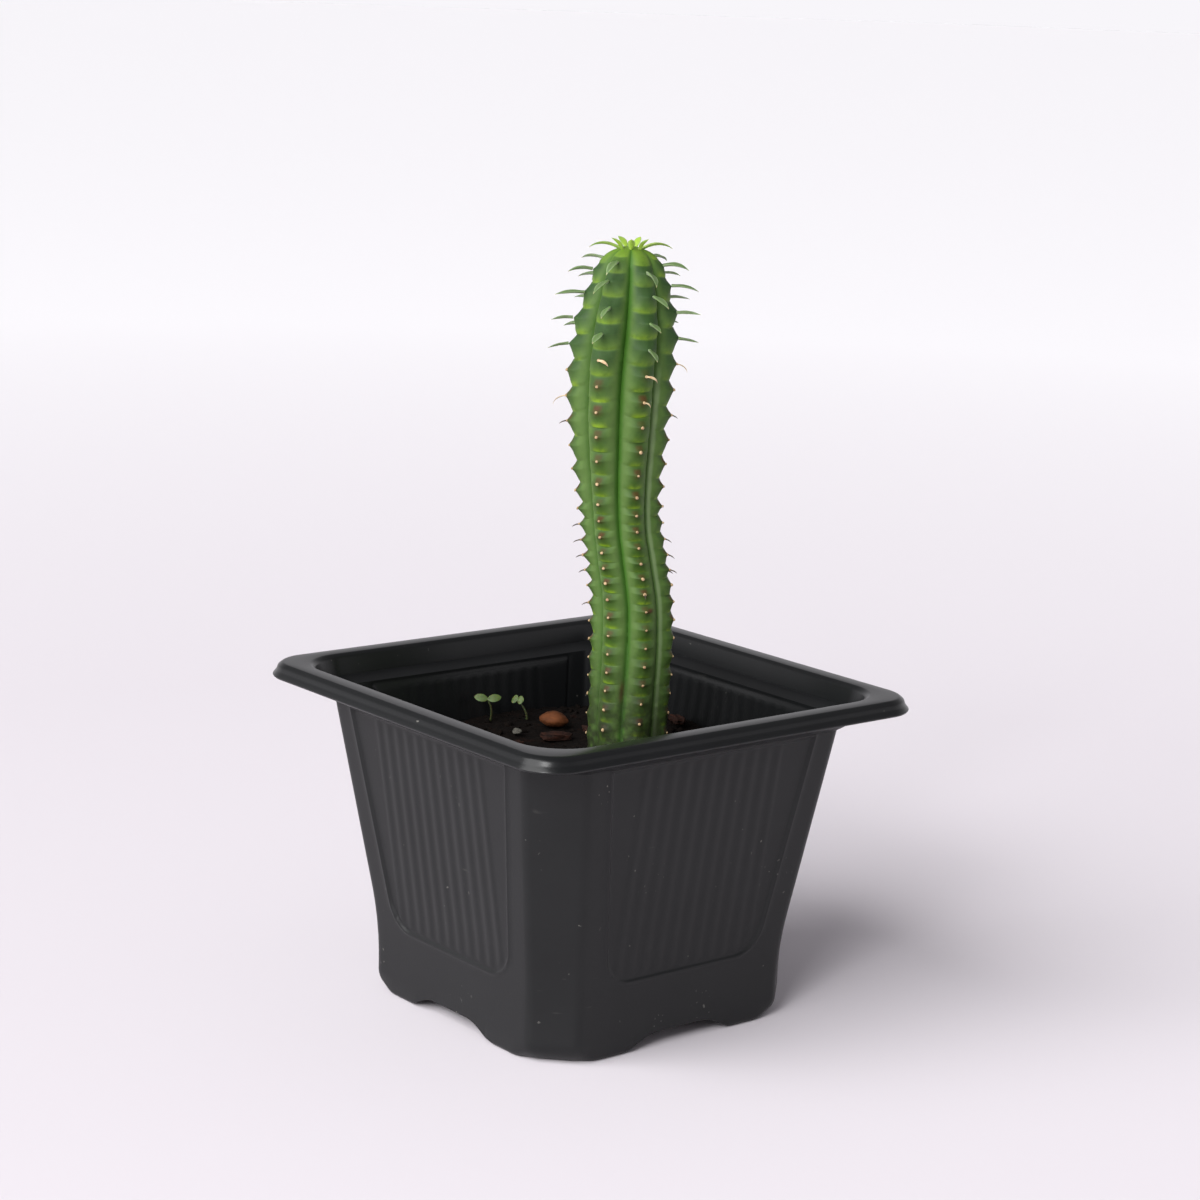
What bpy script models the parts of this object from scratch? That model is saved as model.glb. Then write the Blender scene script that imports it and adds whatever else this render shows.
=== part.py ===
"""A young ribbed succulent in a square four-inch nursery pot.

Everything is drawn in millimetres and written in metres, +Z up. The origin is on the ground under the
middle of the pot. The pot's sides lie along X and Y, and its front corner is the one at +X, -Y.
"""
import math

import bmesh
import bpy
from mathutils import Matrix, Vector

MM = 0.001
GAP = 0.3                     # clearance between pieces that touch

# Pot wall
POT_HEIGHT = 72.0
FOOT_HALF = 34.7              # half the side at the foot
WALL_TAPER = 0.163            # how far a side leans out for each mm of height
BEND_LOW = 6.0                # the side is upright below this height
BEND_HIGH = 24.0              # and leans by the full taper above this one
BEND_RINGS = (BEND_LOW, 12.0, 18.0, BEND_HIGH)    # heights of the sections through the bend
WALL_TOP = POT_HEIGHT - 6.8   # where the side turns out into the ledge
WALL_THICKNESS = 1.3
CORNER_CUT = 0.215            # share of the half side that each corner's cut takes
CREASE_RADIUS = 3.2
FOOT_ROUNDING = 4.5
FLOOR_TOP = 4.9
FLOOR_FILLET = 1.2

# Rim, from the collar's foot outside, over the flat band, to the collar's foot inside:
# half the side, drop below the pot's top, and corner radius
RIM_PROFILE = (
    (45.7, 4.6, 12.0),
    (46.2, 1.1, 11.9),
    (48.8, 1.1, 9.4),
    (50.5, 3.1, 8.6),
    (51.4, 3.2, 9.1),
    (51.6, 2.7, 9.2),
    (50.2, 0.4, 7.9),
    (49.6, 0.0, 7.6),
    (46.0, 0.0, 10.8),
    (45.5, 0.2, 11.0),
    (45.3, 0.7, 11.0),
    (44.6, 4.7, 11.0),
)
INNER_LEDGE = POT_HEIGHT - 6.1    # the ledge's inner edge

# Feet and drainage
ARCH_HEIGHT = 3.4
ARCH_FLAT = 6.0               # half the level top of the arch in each side
ARCH_HALF = 17.0              # half its width at the ground
ARCH_STEPS = 6
UNDERSIDE_HALF = 24.5         # half the hollow under the floor
DRAIN_RADIUS = 3.5
DRAIN_SPREAD = 15.0
PAST_FACE = 1.0               # how far a cutter runs past the face that it cuts

# Fluted panel in each side
PANEL_DEPTH = 0.5
PANEL_TOP = 64.7
PANEL_BOTTOM = 16.4
PANEL_TOP_HALF = 27.3
PANEL_BOTTOM_HALF = 20.4
PANEL_ROUNDING = 6.0
FLUTE_COUNT = 11
FLUTE_PITCH = 3.6
FLUTE_RADIUS = 0.55
FLUTE_PROUD = 0.35
FLUTE_BITE = 0.3              # how far each flute runs into the panel's edges

# Potting mix
SOIL_TOP = 54.0
SOIL_SWELL = 0.6              # rise and fall of its surface
SOIL_RINGS = (0.86, 0.68, 0.48, 0.28, 0.1)    # the surface's inner rings, as shares of its edge
SIDE_STEPS = 7                # stretches that the surface's straight sides are divided into

# Stem: its foot, the way it sways, and its sizes against height
STEM_X = 2.2
STEM_Y = 10.0
STEM_FOOT = 33.0
FACING = -39.1                # direction that the valley between the two front ribs looks, degrees
RIBS = 7
RIB_ANGLE = 360 / RIBS
RIB_PHASES = (0.0, 0.35, 0.77, 0.18, 0.59, 0.0, 0.56)    # how far each rib's teeth are raised, in pitches
SWAY = ((33, 0), (60, 0), (77, 0.2), (88.5, -0.2), (99, -1.9), (105, -3.0), (115, -4.0),
        (125, -4.5), (137, -4.5), (150, -3.7), (158, -3.4), (167, -3.3))
TWIST = ((33, -13), (65, -11.5), (80, -8.5), (98, -7.3), (112, -3.6), (124, 0.5), (167, 0.5))
TOOTH_RADIUS = ((33, 6.0), (42, 8.2), (50, 8.8), (70, 9.2), (85, 9.4), (98, 9.4), (106, 9.2),
                (112, 9.5), (120, 10.4), (130, 11.4), (141, 11.8), (148, 11.5), (152, 10.6),
                (156, 9.2), (160, 7.6), (162.3, 6.0), (163.6, 4.2), (164.4, 1.8))
TOOTH_HEIGHT = ((33, 0.1), (55, 0.25), (70, 0.5), (85, 0.8), (95, 1.1), (115, 1.1), (128, 1.25),
                (145, 1.3), (155, 1.0), (161, 0.4), (164.4, 0.0))
FLANK_SHARE = 0.62            # how far a rib's flank stands out, from valley to crest
VALLEY_SHARE = ((33, 0.9), (60, 0.84), (90, 0.76), (120, 0.72), (150, 0.7), (164.4, 0.85))
TOOTH_LEVEL = ((-17, 58.6), (-15, 67.5), (-13, 75.7), (-11, 83.8), (-9, 91.6), (-7, 98.2),
               (-5, 105.0), (-3, 112.4), (0, 127.5), (4, 149.4), (6, 159.7), (8, 165.4))
FIRST_TOOTH = -17
LAST_TOOTH = 7
NOTCH_LAG = 0.64              # share of a pitch from one tooth's tip down to the notch below it
TOOTHLESS_RINGS = (STEM_FOOT, 42.0, 50.0, 54.5)    # heights of the buried foot's rings
STEM_TIP = 164.2

# Leaves
LEAF_FROM = 143.0             # height of the lowest tooth that still holds a green leaf
LEAF_LENGTH = 6.0
LEAF_WIDTH = 1.6
LEAF_THICKNESS = 0.6
LEAF_DROOP = 28.0             # how far a leaf's tip hangs below its base's direction, degrees
LEAF_RISE = ((143, -5), (150, 1), (157, 4), (163, 8))
CROWN_RADIUS = 2.6
CROWN_LEVEL = 164.5
# Leaves round the growing tip: length, and how steeply each one stands, in degrees
CROWN = ((3.4, 56), (7.2, 26), (3.4, 54), (4.6, 40), (7.2, 24), (4.0, 50), (3.0, 62))

# Loose pieces on the mix: name, centre, half sizes, turn about the upright, colour
LITTER = (
    ("orange_stone", (-25.0, 10.6), (3.5, 2.7, 1.8), 20, "8A4A22"),
    ("pale_stone", (-23.2, -1.0), (1.2, 1.0, 0.7), 0, "8D8A80"),
    ("bark_chip_1", (-16.2, 4.6), (3.6, 1.6, 0.8), 62, "4A2318"),
    ("bark_chip_2", (-15.0, 14.2), (3.0, 1.4, 0.7), 15, "5A2A1B"),
    ("bark_chip_3", (-10.6, 35.0), (3.0, 1.5, 0.8), -20, "5A2A1B"),
    ("bark_chip_4", (-14.5, -8.5), (2.6, 1.5, 0.7), 100, "4A2318"),
    ("bark_chip_5", (17.0, -12.0), (3.4, 1.6, 0.8), 35, "4A2318"),
    ("bark_chip_6", (22.0, 16.0), (2.8, 1.7, 0.7), -50, "5A2A1B"),
)
GRAIN_SEGMENTS = 10
GRAIN_RINGS = 7

# Seedlings: name, foot, top of the stalk, half sizes of a seed leaf, how far each stands off the
# stalk, and the direction that the pair points in
SEEDLINGS = (
    ("seedling_left", (-35.2, 0.4), (-35.6, -0.2, 59.6), (1.75, 0.8, 0.35), 1.35, 51),
    ("seedling_right", (-32.7, 9.0), (-34.6, 7.6, 58.6), (0.95, 0.9, 0.4), 0.62, 20),
)
STALK_RADIUS = 0.35


def start_clean():
    for thing in list(bpy.data.objects):
        bpy.data.objects.remove(thing, do_unlink=True)
    for group in list(bpy.data.collections):
        bpy.data.collections.remove(group)


def new_collection(name):
    group = bpy.data.collections.new(name)
    bpy.context.scene.collection.children.link(group)
    return group


def new_material(name, hex_colour, roughness):
    """Plain finish for one kind of piece, its sRGB colour turned to linear."""
    channels = [int(hex_colour[i:i + 2], 16) / 255 for i in (0, 2, 4)]
    linear = [c / 12.92 if c <= 0.04045 else ((c + 0.055) / 1.055) ** 2.4 for c in channels]
    material = bpy.data.materials.new(name)
    material.use_nodes = True
    shader = material.node_tree.nodes["Principled BSDF"]
    shader.inputs["Base Color"].default_value = (*linear, 1.0)
    shader.inputs["Roughness"].default_value = roughness
    shader.inputs["Metallic"].default_value = 0.0
    material.diffuse_color = (*linear, 1.0)
    return material


def finish_mesh(mesh, name, group, material=None, smooth_angle=35):
    """Turn a bmesh drawn in millimetres into an object of the given collection."""
    bmesh.ops.scale(mesh, vec=(MM, MM, MM), verts=mesh.verts)
    bmesh.ops.recalc_face_normals(mesh, faces=mesh.faces)
    data = bpy.data.meshes.new(name)
    mesh.to_mesh(data)
    mesh.free()
    data.shade_smooth()
    data.set_sharp_from_angle(angle=math.radians(smooth_angle))
    if material:
        data.materials.append(material)
    thing = bpy.data.objects.new(name, data)
    group.objects.link(thing)
    return thing


def make_guide(thing):
    """A cutter or a piece to be joined: never shown, never built."""
    thing.hide_render = True
    thing.display_type = "WIRE"
    return thing


def add_boolean(thing, tool, operation):
    modifier = thing.modifiers.new(tool.name, "BOOLEAN")
    modifier.operation = operation
    modifier.object = tool
    modifier.solver = "EXACT"


def smooth_value(knots, at):
    """Read a smooth curve through (position, value) knots, level beyond both ends."""
    if at <= knots[0][0]:
        return knots[0][1]
    if at >= knots[-1][0]:
        return knots[-1][1]
    slopes = []
    for i in range(len(knots)):
        before = knots[max(i - 1, 0)]
        after = knots[min(i + 1, len(knots) - 1)]
        slopes.append((after[1] - before[1]) / (after[0] - before[0]))
    i = max(n for n in range(len(knots) - 1) if knots[n][0] <= at)
    (x0, y0), (x1, y1) = knots[i], knots[i + 1]
    run = x1 - x0
    t = (at - x0) / run
    return ((2 * t ** 3 - 3 * t ** 2 + 1) * y0 + (t ** 3 - 2 * t ** 2 + t) * run * slopes[i]
            + (3 * t ** 2 - 2 * t ** 3) * y1 + (t ** 3 - t ** 2) * run * slopes[i + 1])


# ---- Square sections ----

def chamfered_corner(half, cut):
    """The corner at +X, +Y, cut off at 45 degrees, with both creases softened by an arc."""
    centre_x = half - CREASE_RADIUS
    centre_y = half - cut - CREASE_RADIUS * math.tan(math.radians(22.5))
    crease = []
    for turn in (0, 15, 30, 45):
        angle = math.radians(turn)
        crease.append((centre_x + CREASE_RADIUS * math.cos(angle),
                       centre_y + CREASE_RADIUS * math.sin(angle)))
    return crease + [(y, x) for x, y in reversed(crease)]


def round_corner(half, radius):
    """The same corner as a quarter circle, with as many points."""
    angles = [math.radians(90 * i / 7) for i in range(8)]
    return [(half - radius + radius * math.cos(a), half - radius + radius * math.sin(a))
            for a in angles]


def square_ring(corner, height):
    """Turn one corner's points into the whole section, all round."""
    ring = []
    for quarter in range(4):
        turn = Matrix.Rotation(math.radians(90 * quarter), 3, "Z")
        ring += [turn @ Vector((x, y, height)) for x, y in corner]
    return ring


def wall_half(height):
    """Half the side of the pot's outer wall: upright foot, a slow bend, then a straight taper."""
    bend = BEND_HIGH - BEND_LOW
    if height <= BEND_LOW:
        return FOOT_HALF
    if height <= BEND_HIGH:
        return FOOT_HALF + WALL_TAPER * (height - BEND_LOW) ** 2 / (2 * bend)
    return FOOT_HALF + WALL_TAPER * (bend / 2 + height - BEND_HIGH)


def wall_ring(height, inset=0.0):
    """Section of the wall, moved in by the inset and keeping its corners' cut parallel."""
    half = wall_half(height)
    cut = CORNER_CUT * half - (2 - math.sqrt(2)) * inset
    return square_ring(chamfered_corner(half - inset, cut), height)


def lofted(rings):
    """Skin through rings of equal length, with a cap on the first and on the last."""
    mesh = bmesh.new()
    rows = [[mesh.verts.new(point) for point in ring] for ring in rings]
    count = len(rows[0])
    for lower, upper in zip(rows, rows[1:]):
        for i in range(count):
            j = (i + 1) % count
            mesh.faces.new((lower[i], lower[j], upper[j], upper[i]))
    mesh.faces.new(rows[0])
    mesh.faces.new(rows[-1])
    return mesh


# ---- Pot ----

def extruded_outline(name, outline, depth, place, group):
    """Flat outline in local XY, thickened evenly along local Z, as a cutter mesh."""
    curve = bpy.data.curves.new(name, "CURVE")
    curve.dimensions = "2D"
    curve.fill_mode = "BOTH"
    curve.extrude = depth / 2 * MM
    spline = curve.splines.new("POLY")
    spline.points.add(len(outline) - 1)
    for point, (x, y) in zip(spline.points, outline):
        point.co = (x * MM, y * MM, 0, 1)
    spline.use_cyclic_u = True
    drawn = bpy.data.objects.new(name, curve)
    group.objects.link(drawn)
    bpy.context.view_layer.update()
    evaluated = drawn.evaluated_get(bpy.context.evaluated_depsgraph_get())
    data = bpy.data.meshes.new_from_object(evaluated)
    bpy.data.objects.remove(drawn, do_unlink=True)
    mesh = bmesh.new()
    mesh.from_mesh(data)
    bmesh.ops.remove_doubles(mesh, verts=mesh.verts, dist=0.00001)
    bmesh.ops.recalc_face_normals(mesh, faces=mesh.faces)
    mesh.to_mesh(data)
    mesh.free()
    cutter = bpy.data.objects.new(name, data)
    group.objects.link(cutter)
    cutter.matrix_world = place
    return make_guide(cutter)


def panel_foot(across):
    """Height of the panel's lower edge at a distance from its middle, with rounded ends."""
    straight = PANEL_BOTTOM_HALF - PANEL_ROUNDING
    past = max(0.0, abs(across) - straight)
    past = min(past, PANEL_ROUNDING)
    return PANEL_BOTTOM + PANEL_ROUNDING - math.sqrt(PANEL_ROUNDING ** 2 - past ** 2)


def side_place(quarter, outward):
    """Local X along a side, local Y up its slope and local Z out of it, `outward` off its face."""
    lean = math.atan(WALL_TAPER)
    along = Vector((0, 1, 0))
    slope = Vector((math.sin(lean), 0, math.cos(lean)))
    normal = along.cross(slope)
    foot = Vector((wall_half(BEND_HIGH) - WALL_TAPER * BEND_HIGH, 0, 0))
    frame = Matrix((along, slope, normal)).transposed().to_4x4()
    frame.translation = (foot + normal * outward) * MM
    return Matrix.Rotation(math.radians(90 * quarter), 4, "Z") @ frame


def slope_length(height):
    return height / math.cos(math.atan(WALL_TAPER))


def cut_panel(pot, quarter, group):
    """Sink the panel's field into one side."""
    corner_steps = [PANEL_BOTTOM_HALF - PANEL_ROUNDING * (1 - math.cos(math.radians(a)))
                    for a in (0, 30, 60, 90)]
    lower_right = [(x, slope_length(panel_foot(x))) for x in corner_steps]
    right = [(PANEL_TOP_HALF, slope_length(PANEL_TOP))] + lower_right
    outline = right + [(-x, y) for x, y in reversed(right)]
    place = side_place(quarter, (PAST_FACE - PANEL_DEPTH) / 2)
    depth = PAST_FACE + PANEL_DEPTH
    cutter = extruded_outline(f"panel_cut_{quarter + 1}", outline, depth, place, group)
    add_boolean(pot, cutter, "DIFFERENCE")


def raise_flutes(pot, quarter, group):
    """Upright six-sided ribs standing out of the panel's field, each ending in its lower edge."""
    bars = bmesh.new()
    for n in range(FLUTE_COUNT):
        across = (n - (FLUTE_COUNT - 1) / 2) * FLUTE_PITCH
        low = slope_length(panel_foot(across) - FLUTE_BITE)
        high = slope_length(PANEL_TOP + FLUTE_BITE)
        turn = Matrix.Rotation(math.radians(-90), 4, "X")
        spot = Matrix.Translation((across, (low + high) / 2, FLUTE_PROUD - FLUTE_RADIUS))
        bmesh.ops.create_cone(bars, cap_ends=True, segments=6, radius1=FLUTE_RADIUS,
                              radius2=FLUTE_RADIUS, depth=high - low, matrix=spot @ turn)
    tool = make_guide(finish_mesh(bars, f"flutes_{quarter + 1}", group))
    tool.matrix_world = side_place(quarter, -PANEL_DEPTH)
    add_boolean(pot, tool, "UNION")


def cut_underside(pot, group):
    """Arches between the feet, the hollow under the floor, and the drain holes."""
    right = [(ARCH_HALF, -PAST_FACE), (ARCH_HALF, 0.0)]
    for i in range(1, ARCH_STEPS + 1):
        share = i / ARCH_STEPS
        rise = ARCH_HEIGHT * (1 - math.cos(math.pi * share)) / 2
        right.append((ARCH_HALF - (ARCH_HALF - ARCH_FLAT) * share, rise))
    outline = right + [(-x, y) for x, y in reversed(right)]
    stand = Matrix(((0, 0, 1), (1, 0, 0), (0, 1, 0))).to_4x4()
    for n in range(2):
        place = Matrix.Rotation(math.radians(90 * n), 4, "Z") @ stand
        arch = extruded_outline(f"arch_cut_{n + 1}", outline, 3 * FOOT_HALF, place, group)
        add_boolean(pot, arch, "DIFFERENCE")

    hollow_corner = chamfered_corner(UNDERSIDE_HALF, CORNER_CUT * UNDERSIDE_HALF)
    just_below = ARCH_HEIGHT - 0.02
    hollow = lofted([square_ring(hollow_corner, z) for z in (-PAST_FACE, just_below)])
    add_boolean(pot, make_guide(finish_mesh(hollow, "underside_cut", group)), "DIFFERENCE")

    drains = bmesh.new()
    spread = (-DRAIN_SPREAD, DRAIN_SPREAD)
    for x, y in [(0, 0)] + [(x, y) for x in spread for y in spread]:
        middle = Matrix.Translation((x, y, FLOOR_TOP / 2))
        bmesh.ops.create_cone(drains, cap_ends=True, segments=16, radius1=DRAIN_RADIUS,
                              radius2=DRAIN_RADIUS, depth=2 * FLOOR_TOP, matrix=middle)
    add_boolean(pot, make_guide(finish_mesh(drains, "drain_cut", group)), "DIFFERENCE")


def build_pot(group, cutters):
    """One moulded shell: feet, wall, ledge, collar, flat rim and its turned-down lip."""
    rings = []
    for turn in (0, 30, 60):
        angle = math.radians(turn)
        inset = FOOT_ROUNDING * (1 - math.sin(angle))
        ring = wall_ring(0.0, inset)
        for point in ring:
            point.z = FOOT_ROUNDING * (1 - math.cos(angle))
        rings.append(ring)
    rings += [wall_ring(z) for z in BEND_RINGS + (WALL_TOP,)]
    for half, drop, radius in RIM_PROFILE:
        rings.append(square_ring(round_corner(half, radius), POT_HEIGHT - drop))
    for z in (INNER_LEDGE,) + tuple(reversed(BEND_RINGS)):
        rings.append(wall_ring(z, WALL_THICKNESS))
    rings.append(wall_ring(FLOOR_TOP, WALL_THICKNESS + FLOOR_FILLET))
    plastic = new_material("moulded_polypropylene", "3A3B3C", 0.42)
    pot = finish_mesh(lofted(rings), "pot", group, plastic)
    for quarter in range(4):
        cut_panel(pot, quarter, cutters)
        raise_flutes(pot, quarter, cutters)
    cut_underside(pot, cutters)


# ---- Potting mix and what lies on it ----

def soil_height(x, y):
    wave = math.sin(x / 7.5 + 0.6) * math.cos(y / 9.0 - 0.4) + 0.4 * math.sin((x - y) / 5.0)
    return SOIL_TOP + SOIL_SWELL * wave


def divided_sides(ring):
    """The same section with its four long sides divided, so that its surface can swell there too."""
    divided = []
    per_corner = len(ring) // 4
    for i, point in enumerate(ring):
        divided.append(point)
        if i % per_corner == per_corner - 1:
            after = ring[(i + 1) % len(ring)]
            divided += [point.lerp(after, n / SIDE_STEPS) for n in range(1, SIDE_STEPS)]
    return divided


def build_soil(group, cutters):
    """The mix that fills the pot, with a socket where the stem goes in."""
    inset = WALL_THICKNESS + GAP
    rings = [wall_ring(FLOOR_TOP + GAP, inset + FLOOR_FILLET)]
    rings += [wall_ring(BEND_LOW + GAP, inset)] + [wall_ring(z, inset) for z in BEND_RINGS[1:]]
    rings = [divided_sides(ring) for ring in rings]
    edge = divided_sides(wall_ring(SOIL_TOP, inset))
    for share in (1.0,) + SOIL_RINGS:
        rings.append([Vector((p.x * share, p.y * share, soil_height(p.x * share, p.y * share)))
                      for p in edge])
    mesh = lofted(rings)
    mesh.faces.ensure_lookup_table()
    bmesh.ops.poke(mesh, faces=mesh.faces[-1:])
    soil = finish_mesh(mesh, "soil", group, new_material("potting_mix", "2A1912", 0.95), 60)
    socket = bmesh.new()
    radius = smooth_value(TOOTH_RADIUS, SOIL_TOP) + GAP
    depth = SOIL_TOP - STEM_FOOT + GAP
    middle = Matrix.Translation((STEM_X, STEM_Y, STEM_FOOT - GAP + depth))
    bmesh.ops.create_cone(socket, cap_ends=True, segments=28, radius1=radius, radius2=radius,
                          depth=2 * depth, matrix=middle)
    add_boolean(soil, make_guide(finish_mesh(socket, "stem_socket", cutters)), "DIFFERENCE")


def rest_height(x, y, reach):
    """Highest point of the mix under a small piece."""
    spots = [(0, 0)] + [(math.cos(a) * reach, math.sin(a) * reach)
                        for a in (math.radians(30 * i) for i in range(12))]
    return max(soil_height(x + dx, y + dy) for dx, dy in spots)


def build_litter(group):
    """Stones and bark chips: worn, lumpy lozenges lying on the mix."""
    for number, (name, (x, y), half, turn, colour) in enumerate(LITTER):
        grain = bmesh.new()
        bmesh.ops.create_uvsphere(grain, u_segments=GRAIN_SEGMENTS, v_segments=GRAIN_RINGS, radius=1)
        for vert in grain.verts:
            lump = 1 + 0.1 * math.sin(3 * vert.co.x + 2 * vert.co.y + number)
            vert.co = Vector((vert.co.x * half[0] * lump, vert.co.y * half[1] * lump,
                              vert.co.z * half[2]))
        lift = rest_height(x, y, 0.6 * half[0]) + GAP + half[2]
        place = Matrix.Translation((x, y, lift)) @ Matrix.Rotation(math.radians(turn), 4, "Z")
        bmesh.ops.transform(grain, matrix=place, verts=grain.verts)
        kind = "stone" if name.endswith("stone") else "bark"
        finish_mesh(grain, name, group, new_material(f"{kind}_{number + 1}", colour, 0.8))


def build_seedlings(group, cutters):
    """Two sprouts, each a leaning stalk with its pair of seed leaves."""
    green = new_material("seed_leaf", "6F7F3A", 0.6)
    for name, (x, y), top, half, stand_off, heading in SEEDLINGS:
        foot = Vector((x, y, rest_height(x, y, STALK_RADIUS) + GAP))
        rise = Vector(top) - foot
        stalk = bmesh.new()
        lean = rise.to_track_quat("Z", "Y").to_matrix().to_4x4()
        place = Matrix.Translation(foot + rise / 2) @ lean
        bmesh.ops.create_cone(stalk, cap_ends=True, segments=8, radius1=STALK_RADIUS,
                              radius2=STALK_RADIUS, depth=rise.length, matrix=place)
        seedling = finish_mesh(stalk, name, group, green)
        for side in (-1, 1):
            seed_leaf = bmesh.new()
            bmesh.ops.create_uvsphere(seed_leaf, u_segments=10, v_segments=6, radius=1)
            bmesh.ops.scale(seed_leaf, vec=half, verts=seed_leaf.verts)
            spot = (Matrix.Translation(top) @ Matrix.Rotation(math.radians(heading), 4, "Z")
                    @ Matrix.Rotation(math.radians(-12 * side), 4, "Y")
                    @ Matrix.Translation((side * stand_off, 0, 0)))
            bmesh.ops.transform(seed_leaf, matrix=spot, verts=seed_leaf.verts)
            tool = make_guide(finish_mesh(seed_leaf, f"{name}_leaf_{side + 2}", cutters))
            add_boolean(seedling, tool, "UNION")


# ---- Stem ----

def stem_axis(height):
    """Middle of the stem at a height: it sways across the view from the front corner."""
    across = math.radians(FACING + 90)
    sway = smooth_value(SWAY, height)
    return Vector((STEM_X + sway * math.cos(across), STEM_Y + sway * math.sin(across), height))


def from_axis(direction, height, radius):
    """Point at a distance from the stem's middle, level with it."""
    return stem_axis(height) + Vector((math.cos(direction), math.sin(direction), 0)) * radius


def rib_direction(rib, height):
    """Direction of a rib's crest, in radians, or of the valley after it for rib + 0.5."""
    return math.radians(FACING + smooth_value(TWIST, height) + RIB_ANGLE * (rib + 0.5))


def rib_phase(rib):
    """How far a rib's teeth are raised, in pitches."""
    return RIB_PHASES[rib % RIBS]


def column_phase(column):
    """Phase of one of the four columns of a rib: its crest, its two flanks, and the valley between."""
    rib, part = divmod(column, 4)
    here, after = rib_phase(rib), rib_phase(rib + 1)
    return here + (after - here) * part / 4


def skin_point(column, height, crest):
    """Where a column of the stem's skin stands at a height, with its rib's crest at a radius."""
    rib, part = divmod(column, 4)
    valley = smooth_value(TOOTH_RADIUS, height) * smooth_value(VALLEY_SHARE, height)
    radius = valley + (crest - valley) * (1.0, FLANK_SHARE, 0.0, FLANK_SHARE)[part]
    return from_axis(rib_direction(rib + part / 4, height), height, radius)


def toothed_row(level, at_tip):
    """Ring through every rib's tooth tips, or through the notches above them."""
    ring = []
    for column in range(4 * RIBS):
        height = smooth_value(TOOTH_LEVEL, level + column_phase(column))
        notch = 0.0 if at_tip else smooth_value(TOOTH_HEIGHT, height)
        ring.append(skin_point(column, height, smooth_value(TOOTH_RADIUS, height) - notch))
    return ring


def plain_row(height):
    """Toothless ring for the buried foot and the growing tip."""
    crest = smooth_value(TOOTH_RADIUS, height)
    return [skin_point(column, height, crest) for column in range(4 * RIBS)]


def build_stem(group):
    rings = [plain_row(z) for z in TOOTHLESS_RINGS]
    for level in range(FIRST_TOOTH, LAST_TOOTH):
        rings.append(toothed_row(level, True))
        rings.append(toothed_row(level + 1 - NOTCH_LAG, False))
    rings.append(plain_row(STEM_TIP))
    green = new_material("succulent_skin", "4D6B34", 0.5)
    finish_mesh(lofted(rings), "stem", group, green, 50)


# ---- Leaves ----

def leaf_mesh(length, width, thickness):
    """A lance-shaped blade from the origin along +X, its tip hanging in an arc."""
    blade = bmesh.new()
    bmesh.ops.create_uvsphere(blade, u_segments=6, v_segments=6, radius=1,
                              matrix=Matrix.Rotation(math.radians(90), 4, "Y"))
    droop = math.radians(LEAF_DROOP)
    arc = length / droop
    for vert in blade.verts:
        along = (vert.co.x + 1) / 2
        turn = droop * along
        taper = 1.15 - 0.4 * along
        lift = vert.co.z * thickness / 2
        vert.co = Vector(((arc + lift) * math.sin(turn), vert.co.y * taper * width / 2,
                          (arc + lift) * math.cos(turn) - arc))
    return blade


def place_leaf(blade, root, heading, rise):
    turn = Matrix.Rotation(heading, 4, "Z") @ Matrix.Rotation(-rise, 4, "Y")
    bmesh.ops.transform(blade, matrix=Matrix.Translation(root) @ turn, verts=blade.verts)


def build_leaves(group):
    """One leaf on each upper tooth, and a whorl of young leaves round the growing tip."""
    green = new_material("leaf", "7C8F63", 0.55)
    roots = []
    for rib in range(RIBS):
        for level in range(FIRST_TOOTH, LAST_TOOTH):
            height = smooth_value(TOOTH_LEVEL, level + rib_phase(rib))
            if height > LEAF_FROM:
                roots.append((height, rib))
    for number, (height, rib) in enumerate(sorted(roots)):
        heading = rib_direction(rib, height)
        root = from_axis(heading, height, smooth_value(TOOTH_RADIUS, height) + GAP)
        blade = leaf_mesh(LEAF_LENGTH, LEAF_WIDTH, LEAF_THICKNESS)
        place_leaf(blade, root, heading, math.radians(smooth_value(LEAF_RISE, height)))
        finish_mesh(blade, f"leaf_{number + 1:02d}", group, green)

    young = new_material("young_leaf", "9BB04A", 0.55)
    for n, (length, rise) in enumerate(CROWN):
        heading = rib_direction(n + 0.5, CROWN_LEVEL)
        root = from_axis(heading, CROWN_LEVEL, CROWN_RADIUS)
        blade = leaf_mesh(length, LEAF_WIDTH, LEAF_THICKNESS)
        place_leaf(blade, root, heading, math.radians(rise))
        finish_mesh(blade, f"crown_leaf_{n + 1}", group, young)


def build_potted_plant():
    start_clean()
    pieces = new_collection("potted_succulent")
    cutters = new_collection("cutters")
    build_pot(pieces, cutters)
    build_soil(pieces, cutters)
    build_litter(pieces)
    build_seedlings(pieces, cutters)
    build_stem(pieces)
    build_leaves(pieces)


build_potted_plant()
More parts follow.
